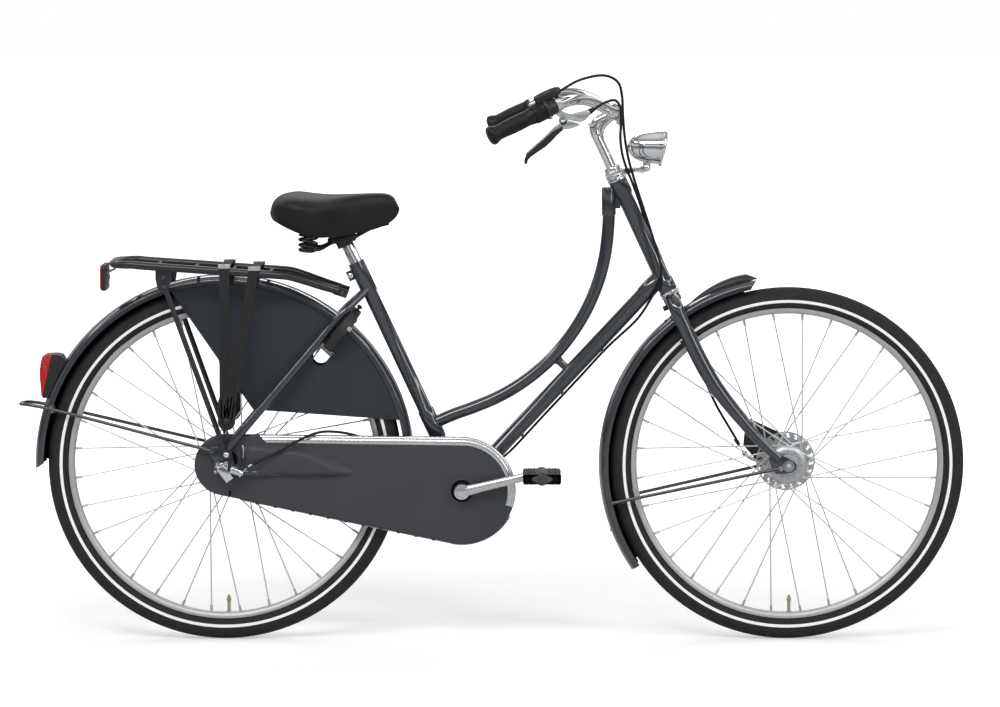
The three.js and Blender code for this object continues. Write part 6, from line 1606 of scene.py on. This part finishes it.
def headset_lamp_bracket():
    form = Form()
    profile = [
        (13, 0.4), (19, 0.4), (20, 1.6), (20, 5), (18.6, 7), (18.6, 9.4), (21, 10.4), (21, 13.4), (17.6, 14)
    ]
    put(form, turn(profile, HEAD_HIGH, AXIS, 48))
    put(form, turn([
        (13, 14), (18.4, 14), (18.8, 15), (18.8, 21), (18, 22), (13, 22)
    ], HEAD_HIGH, AXIS, 6, loop=True))
    put(form, turn([
        (13, 22), (16.2, 22), (16.8, 23), (16.8, 28), (15.6, 30.6), (13, 31.6)
    ], HEAD_HIGH, AXIS, 48, loop=True))
    start = on_axis(12)
    pivot = Vector((852, 0, 957))
    run = (pivot - start).normalized()
    normal = Vector((-run.z, 0, run.x))
    for side in (-1, 1):
        centre = [(0, 0), (0.34, 3), (0.62, 1.6), (0.82, -2), (1, 0)]
        spine = smooth_path([start + (pivot - start) * s + normal * lift for s, lift in centre], 6)
        high, low = [], []
        for k, spot in enumerate(spine):
            share = k / (len(spine) - 1)
            half = 9 - 4.2 * math.sin(math.pi * share) if share < 0.9 else 6.5
            high.append(spot + normal * half)
            low.append(spot - normal * half)
        cap = [
            pivot + run * (7.5 * math.cos(a)) + normal * (7.5 * math.sin(a))
            for a in (1.2, 0.6, 0, -0.6, -1.2)
        ]
        outline = [(p.x, p.z) for p in high + cap + list(reversed(low))]
        put(form, slab(outline, *sorted((side * 6.4, side * 9.2))))
        put(form, turn(on_side(side, [
            (0.1, 14), (4.6, 13.4), (6.2, 12), (6.4, 9.2)
        ]), (pivot.x, 0, pivot.z), segments=28))
    put(form, pin((pivot.x, -9, pivot.z), (pivot.x, 9, pivot.z), 2.9, 20))
    show("headset_lamp_bracket", form, "steering", [CHROME], "chrome", bevel=0.5, angle=35)


def stem():
    form = Form()
    quill = [
        on_axis(-68), on_axis(-20), on_axis(30), on_axis(80), on_axis(104), on_axis(117) + Vector((3, 0, 2)),
        (755, 0, 1051), (769, 0, 1059), (786, 0, 1068)
    ]
    path = smooth_path(quill, 8)
    radii = [11 if spot.z < 1020 else 11.6 for spot in path]
    put(form, sweep(path, radii, 36, flat=0.95, up=(0, 1, 0)))
    web = [
        on_axis(90) + Vector((3, 0, 0)), on_axis(103) + Vector((7, 0, 0)), (762, 0, 1039), (771, 0, 1049),
        (783, 0, 1060)
    ]
    put(form, sweep(smooth_path(web, 6), 7.4, 24, up=(0, 1, 0)))
    put(form, turn([
        (11.4, -20), (16, -20), (17, -19), (17.4, -8), (17.4, 8), (17, 19), (16, 20), (11.4, 20)
    ], BAR_CLAMP, segments=48, loop=True))
    put(form, brick((797, 0, 1055), (16, 26, 15), -35))
    put(form, pin((792, 0, 1050), (803, 0, 1042), 4.6, 6, 0, 0.1))
    cap = on_axis(122) + Vector((-1, 0, -2))
    put(form, turn([(0.1, 1.6), (4, 1.4), (5.6, 0.4), (5.8, -3)], cap + AXIS * 7.5, AXIS, 24))
    show("stem", form, "steering", [CHROME], "alloy", bevel=0.7, angle=45)


headset_lamp_bracket()
stem()

GRIP_END = Vector((541, -296, 1033))
GRIP_INNER = Vector((644, -266, 1082))
GRIP_AXIS = (GRIP_INNER - GRIP_END).normalized()


def along_grip(length):
    return GRIP_END + GRIP_AXIS * length


def handlebar():
    corners = [
        BAR_CLAMP, (786, -23, 1069), (778, -52, 1072), (757, -95, 1084), (735, -145, 1095),
        (713, -195, 1100), (694, -232, 1099), (676, -254, 1094), along_grip(130), along_grip(100),
        along_grip(60), along_grip(6)
    ]
    right = smooth_path(corners, 10)
    left = mirrored_path(right[1:])
    form = Form()
    put(form, sweep([*left, *right], 11.1, 36, up=(1, 0, 0)))
    for edge in (24, 30):
        for side in (-1, 1):
            put(form, turn([
                (11.1, -1), (11.5, -0.5), (11.5, 0.5), (11.1, 1)
            ], (786, side * edge, 1069), segments=36))
    show("handlebar", form, "steering", [CHROME], "alloy", angle=50)


def grips():
    profile = [
        (0.1, -7.6), (10, -7.2), (15, -6), (18.2, -3.4), (19.2, 0), (18.8, 4), (17, 8.4), (15.4, 12),
        (14.8, 17), (15.2, 30), (16, 44), (16, 60), (15.4, 76), (15.6, 84), (16.8, 86), (16.8, 91.4),
        (11.6, 91.8)
    ]
    for word, mirror in (("right", False), ("left", True)):
        form = Form()
        put(form, turn(profile, GRIP_END, GRIP_AXIS, 48))
        form = form.mirrored() if mirror else form
        show(f"grip_{word}", form, "steering", [RUBBER], "black_rubber", angle=40)


handlebar()
grips()


def ribbed(form, start, length, radius, ribs, lift):
    """Lengthwise ribs round the bar."""
    side = GRIP_AXIS.cross(Vector((0, 0, 1))).normalized()
    other = GRIP_AXIS.cross(side)
    for k in range(ribs):
        angle = 2 * math.pi * k / ribs
        out = side * math.cos(angle) + other * math.sin(angle)
        a = along_grip(start) + out * radius
        b = along_grip(start + length) + out * radius
        put(form, sweep([a, b], lift, 8, up=out, ends=0.8))


def twist_shifter():
    form = Form()
    put(form, turn([
        (11.7, 92.5), (17.6, 92.5), (18.4, 94), (17.4, 104), (18.4, 112), (19, 115.6), (18, 116.2),
        (11.7, 116.2)
    ], GRIP_END, GRIP_AXIS, 64, loop=True))
    ribbed(form, 95, 17, 17.6, 26, 1.1)
    show("twist_shifter", form, "twist_shifter", [RUBBER], "black_rubber", angle=40)


def shifter_housing():
    form = Form()
    put(form, turn([
        (11.7, 116.8), (19.6, 116.8), (20.6, 118), (20.6, 123), (18.4, 126), (17.2, 130), (17.2, 138),
        (16, 140.4), (11.7, 140.4)
    ], GRIP_END, GRIP_AXIS, 56, loop=True))
    middle = along_grip(128.6)
    base = middle + Vector((-4, 0, 22.5))
    lean = Vector((0.903, 0.02, 0.43)).normalized()
    side = Vector((0, 1, 0))
    up = lean.cross(side).normalized() * -1
    rings = []
    for along, high, wide in (
        (-27, 6, 8), (-24, 9.4, 10.6), (-12, 10.6, 11.6), (8, 10.2, 11.6), (20, 9, 10.4), (26, 6.6, 8.4),
        (28.4, 4, 5)
    ):
        ring = []
        for k in range(28):
            angle = 2 * math.pi * k / 28
            c = math.copysign(abs(math.cos(angle)) ** 0.6, math.cos(angle))
            s = math.copysign(abs(math.sin(angle)) ** 0.6, math.sin(angle))
            ring.append(base + lean * along + side * (wide * c) + up * (high * s - 1))
        rings.append(ring)
    put(form, skin(rings))
    put(form, sweep([middle + Vector((-4, 0, 4)), base], [11, 10], 24))
    put(form, brick(base + up * 9.4 - lean * 2, (26, 12, 1.6), 25.5, 1))
    outlet = Vector((672, -240, 1117))
    put(form, sweep([base + lean * 20, outlet - lean * 8, outlet], [5.2, 4.6, 3.4], 20))
    put(form, pin(middle + Vector((2, -12, -16)), middle + Vector((2, -16, -21)), 3, 16, 2))
    show("shifter_housing", form, "steering", [PLASTIC, GLASS, STEEL], "black_plastic", bevel=0.6, angle=40)


twist_shifter()
shifter_housing()


def brake_lever_bracket():
    form = Form()
    put(form, turn([
        (11.7, 141), (14.6, 141), (15.4, 142), (15.4, 152), (14.6, 153), (11.7, 153)
    ], GRIP_END, GRIP_AXIS, 48, loop=True))
    body = [
        (661, 1096), (669, 1088), (676, 1080), (687, 1075), (700, 1072.6), (714, 1074.6), (727, 1080),
        (733, 1073), (724, 1062), (713, 1056.6), (701, 1059.6), (690, 1062), (679, 1063), (668, 1070),
        (659, 1083)
    ]
    put(form, slab(body, -259, -245))
    put(form, sweep([(700, -250, 1067), (718, -243, 1070), (731, -236, 1077)], [8, 8.4, 6.4], 24, ends=0.4))
    put(form, turn([
        (0.1, -262.4), (3.6, -262), (4.6, -261), (4.8, -258.6)
    ], (680, 0, 1066), segments=24, mark=1))
    put(form, sweep([
        (726, -238.6, 1074.5), (732, -234, 1077.5), (743, -227.5, 1083.4)
    ], [6.2, 6, 3.6], 20, mark=2, ends=0.4))
    put(form, pin(along_grip(147) + Vector((4, -10, 10)), along_grip(147) + Vector((5, -14, 14)), 3, 16, 1))
    show("brake_lever_bracket", form, "steering", [ALLOY, STEEL, RUBBER], "alloy", bevel=1.6, angle=38)


def brake_lever():
    form = Form()
    bright = [
        (712, 1054), (701, 1058), (690, 1060.4), (677, 1059.5), (660, 1046), (642, 1028), (625, 1013),
        (608, 997.5), (606, 992), (622, 1006), (640, 1021), (656, 1033), (676, 1044), (690, 1043.6),
        (702, 1047), (710, 1050)
    ]
    dark = [
        (679, 1050), (660, 1040), (642, 1024), (625, 1009), (609, 995), (604.6, 986), (604, 978),
        (606.4, 975.4), (609.6, 976.4), (611.6, 984), (617, 990), (630, 999), (645, 1009), (657, 1020),
        (668, 1032), (680, 1042.6)
    ]
    put(form, slab(bright, -257, -247))
    put(form, slab(dark, -259, -245, mark=1))
    put(form, turn([
        (3.2, -257), (8, -257), (9, -256), (9, -248), (8, -247), (3.2, -247)
    ], (680, 0, 1060), segments=32, loop=True))
    show("brake_lever", form, "brake_lever", [ALLOY, PLASTIC], "alloy", bevel=1.6, angle=38)


brake_lever_bracket()
brake_lever()


def headlamp():
    form = Form()
    shares = [
        (0, 0.02), (0.012, 0.14), (0.04, 0.3), (0.1, 0.5), (0.2, 0.69), (0.32, 0.81), (0.45, 0.89),
        (0.6, 0.95), (0.75, 0.985), (0.86, 1), (0.88, 1.03), (0.94, 1.035), (0.96, 1.0), (0.99, 0.985),
        (0.985, 0.93), (0.93, 0.9)
    ]
    profile = [(r * LAMP_RADIUS, x * LAMP_LENGTH) for x, r in shares]
    put(form, turn(profile, LAMP_REAR, (1, 0, 0), 64))
    put(form, turn([
        (31.4, 71.5), (31, 73.4), (24, 76.4), (14, 78.2), (0.1, 79)
    ], LAMP_REAR, (1, 0, 0), 64, mark=1))
    for vert in form.verts:
        share = max(0, (vert.x - LAMP_REAR[0]) / LAMP_LENGTH)
        vert.x += share**2 * (vert.z - LAMP_REAR[2]) * 0.2
    put(form, brick((852, 0, 966), (15, 12, 14)))
    put(form, pin((852, -6, 957), (852, 6, 957), 8, 32, 0, 0.08))
    put(form, pin((879, 0, 966), (879, 0, 960), 3.4, 16))
    for side in (-1, 1):
        put(form, orb((846, side * 29.8, 1004), 3, 14, (1, 0.6, 1)))
    show("headlamp", form, "headlamp", [CHROME, GLASS], "chrome", angle=40)


headlamp()

# Cables; the brake cable rides on the steering and the lower shift cable on the frame

SHIFT_CABLE = [
    (672, -240, 1117), (713, -226, 1139), (763, -200, 1147), (789, -180, 1133), (797, -165, 1108),
    (800, -140, 1066), (805, -110, 1019), (814, -80, 974), (825, -60, 937), (839, -45, 894), (858, -32, 837),
    (874, -28, 784), (881, -26, 756), (877, -21, 727), (859, -15, 690), (834, 0, 651), (775, 0, 595),
    (716, 0, 531), (645, 0, 455), (576, 0, 381), (561, -9, 370), (545, -17, 361), (525, -26, 352),
    (500, -32, 350), (450, -33, 356), (400, -32, 372), (330, -32, 394), (290, -32, 410), (258, -33, 420),
    (228, -41, 426), (194, -56, 427), (157, -65, 414), (109, -71, 388), (52, -80, 361)
]
BRAKE_CABLE = [
    (742, -225, 1083), (752, -220, 1089), (767, -205, 1096), (783, -190, 1098), (793, -175, 1086),
    (796, -140, 1052), (796, -105, 1019), (801, -75, 986), (810, -50, 958), (822, -30, 929), (836, -8, 892),
    (850, 16, 850), (880, 44, 780), (912, 66, 700), (934, 68, 635), (962, 67, 560), (980, 66, 508),
    (997, 64, 471), (1011, 63, 446), (1025, 61, 423), (1044, 58, 391)
]

# The place in the shift cable's route where it is split; the frame holds the part after it
FRAME_CLIP = 13
CABLE_STEPS = 7


def brake_cable():
    form = Form()
    put(form, sweep(smooth_path(BRAKE_CABLE, CABLE_STEPS), CABLE_RADIUS, 14))
    put(form, sweep([(1041, 58.2, 393), (1050, 55.4, 380), (1056, 53, 372)], 1, 10, mark=1))
    put(form, sweep([(1036, 60, 401), (1045, 57, 388)], 4, 16, ends=0.4))
    show("brake_cable", form, "steering", [RUBBER, STEEL], "black_rubber", angle=45)


def shift_cable():
    path = smooth_path(SHIFT_CABLE, CABLE_STEPS)
    split = FRAME_CLIP * CABLE_STEPS
    upper = Form()
    put(upper, sweep(path[: split + 1], CABLE_RADIUS, 14))
    bent = bpy.data.objects.new("shift_cable_upper", mesh_of("shift_cable_upper", upper, [RUBBER], 45))
    bpy.context.scene.collection.objects.link(bent)
    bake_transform(bent)
    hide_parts("shift_cable")
    lower = Form()
    put(lower, sweep(path[split:], CABLE_RADIUS, 14))
    put(lower, sweep([(60, -79, 364.6), (50, -80.4, 359.4)], 3.2, 16, mark=1, ends=0.4))
    piece("shift_cable_lower", lower, "frame", [RUBBER, STEEL], "black_rubber", angle=45)


brake_cable()
shift_cable()

# These nodes keep their CAD shape and get a finish
KEPT = {"chain": STEEL, "chainwheel": STEEL, "rear_sprocket": STEEL, "crank_axle": STEEL}
for name, finish in KEPT.items():
    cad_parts[name].data.materials.clear()
    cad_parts[name].data.materials.append(finish)

# Studio


def backdrop(scene):
    """White to the camera, and a dark room with a bright band to shiny surfaces."""
    world = bpy.data.worlds.new("studio")
    scene.world = world
    world.use_nodes = True
    tree = world.node_tree
    back = tree.nodes["Background"]
    out = tree.nodes["World Output"]
    sky = node(tree, "TexCoord").outputs["Generated"]
    height = node(tree, "SeparateXYZ", {0: sky}).outputs["Z"]
    upwards = node(tree, "MapRange", {"Value": height, "From Min": -1, "From Max": 1}).outputs[0]
    ramp = node(tree, "ValToRGB", {"Fac": upwards})
    stops = [
        (0.0, 0.07), (0.44, 0.1), (0.49, 0.015), (0.55, 0.03), (0.62, 0.17), (0.7, 0.05), (0.785, 0.04),
        (0.795, 0.9), (0.82, 0.9), (0.83, 0.04), (0.9, 0.05), (0.95, 0.12), (1.0, 0.17)
    ]
    elements = ramp.color_ramp.elements
    elements[0].position, elements[0].color = stops[0][0], (stops[0][1],) * 3 + (1,)
    elements[1].position, elements[1].color = stops[-1][0], (stops[-1][1],) * 3 + (1,)
    for spot, level in stops[1:-1]:
        elements.new(spot).color = (level,) * 3 + (1,)
    gloss = node(tree, "Background", {"Color": ramp.outputs["Color"], "Strength": 6.0})
    back.inputs["Color"].default_value = (1, 1, 1, 1)
    back.inputs["Strength"].default_value = 0.5
    plain = node(tree, "Background", {"Color": (1, 1, 1, 1), "Strength": 1.0})
    path = node(tree, "LightPath")
    first = node(tree, "MixShader", {
        "Fac": path.outputs["Is Glossy Ray"], 1: back.outputs[0], 2: gloss.outputs[0]
    })
    see = node(tree, "Math", {
        0: path.outputs["Is Camera Ray"], 1: path.outputs["Is Transmission Ray"]
    }, operation="MAXIMUM")
    second = node(tree, "MixShader", {"Fac": see.outputs[0], 1: first.outputs[0], 2: plain.outputs[0]})
    tree.links.new(second.outputs[0], out.inputs["Surface"])


def ground(scene):
    """A white floor that glows to the camera, less near the bike than further off: painted shade round the
    bike that deepens its soft shadows, while further off it fades out to white.
    """
    floor_mesh = bpy.data.meshes.new("studio_floor")
    reach = 60
    corners = [(-reach, -reach, 0), (reach, -reach, 0), (reach, reach, 0), (-reach, reach, 0)]
    floor_mesh.from_pydata(corners, [], [(0, 1, 2, 3)])
    floor = bpy.data.objects.new("studio_floor", floor_mesh)
    scene.collection.objects.link(floor)
    made = bpy.data.materials.new("studio_floor")
    made.use_nodes = True
    tree = made.node_tree
    shader = tree.nodes["Principled BSDF"]
    shader.inputs["Base Color"].default_value = (0.8, 0.8, 0.8, 1)
    shader.inputs["Roughness"].default_value = 0.9
    path = node(tree, "LightPath")
    place = node(tree, "TexCoord").outputs["Object"]
    away = node(tree, "VectorMath", {0: place}, operation="LENGTH").outputs["Value"]
    # Camera glow rising from 0.38 near the bike to 0.95 further off, painted shade round the bike
    level = node(tree, "MapRange", {
        "Value": away, "From Min": 0.9, "From Max": 2.6, "To Min": 0.38, "To Max": 0.95
    })
    glow = node(tree, "Math", {0: path.outputs["Is Camera Ray"], 1: level.outputs[0]}, operation="MULTIPLY")
    shader.inputs["Emission Color"].default_value = (1, 1, 1, 1)
    tree.links.new(glow.outputs[0], shader.inputs["Emission Strength"])
    floor_mesh.materials.append(made)


def lamp(scene, name, place, aim, size, energy):
    data = bpy.data.lights.new(name, "AREA")
    data.shape = "RECTANGLE"
    data.size, data.size_y = size
    data.energy = energy
    obj = bpy.data.objects.new(name, data)
    scene.collection.objects.link(obj)
    obj.location = place
    obj.rotation_euler = (Vector(aim) - Vector(place)).to_track_quat("-Z", "Y").to_euler()


def lamps(scene):
    lamp(scene, "key", (-1.6, -3.6, 4.2), (0, 0, 0.5), (3.4, 1.0), 105)
    lamp(scene, "fill", (3.2, -3.0, 2.6), (0.2, 0, 0.5), (0.8, 2.6), 40)
    lamp(scene, "rear", (0.5, 3.6, 3.8), (0, 0, 0.5), (4.0, 0.8), 24)


def view(scene):
    data = bpy.data.cameras.new("camera")
    data.sensor_width = SENSOR_WIDTH
    data.lens = FOCAL_PIXELS * SENSOR_WIDTH / PICTURE_WIDTH
    data.clip_end = 200
    camera = bpy.data.objects.new("camera", data)
    scene.collection.objects.link(camera)
    camera.location = CAMERA_PLACE
    camera.rotation_euler = (math.radians(90 - CAMERA_TILT), 0, 0)
    scene.camera = camera


studio = bpy.context.scene
studio.view_settings.view_transform = "Standard"
backdrop(studio)
ground(studio)
lamps(studio)
view(studio)
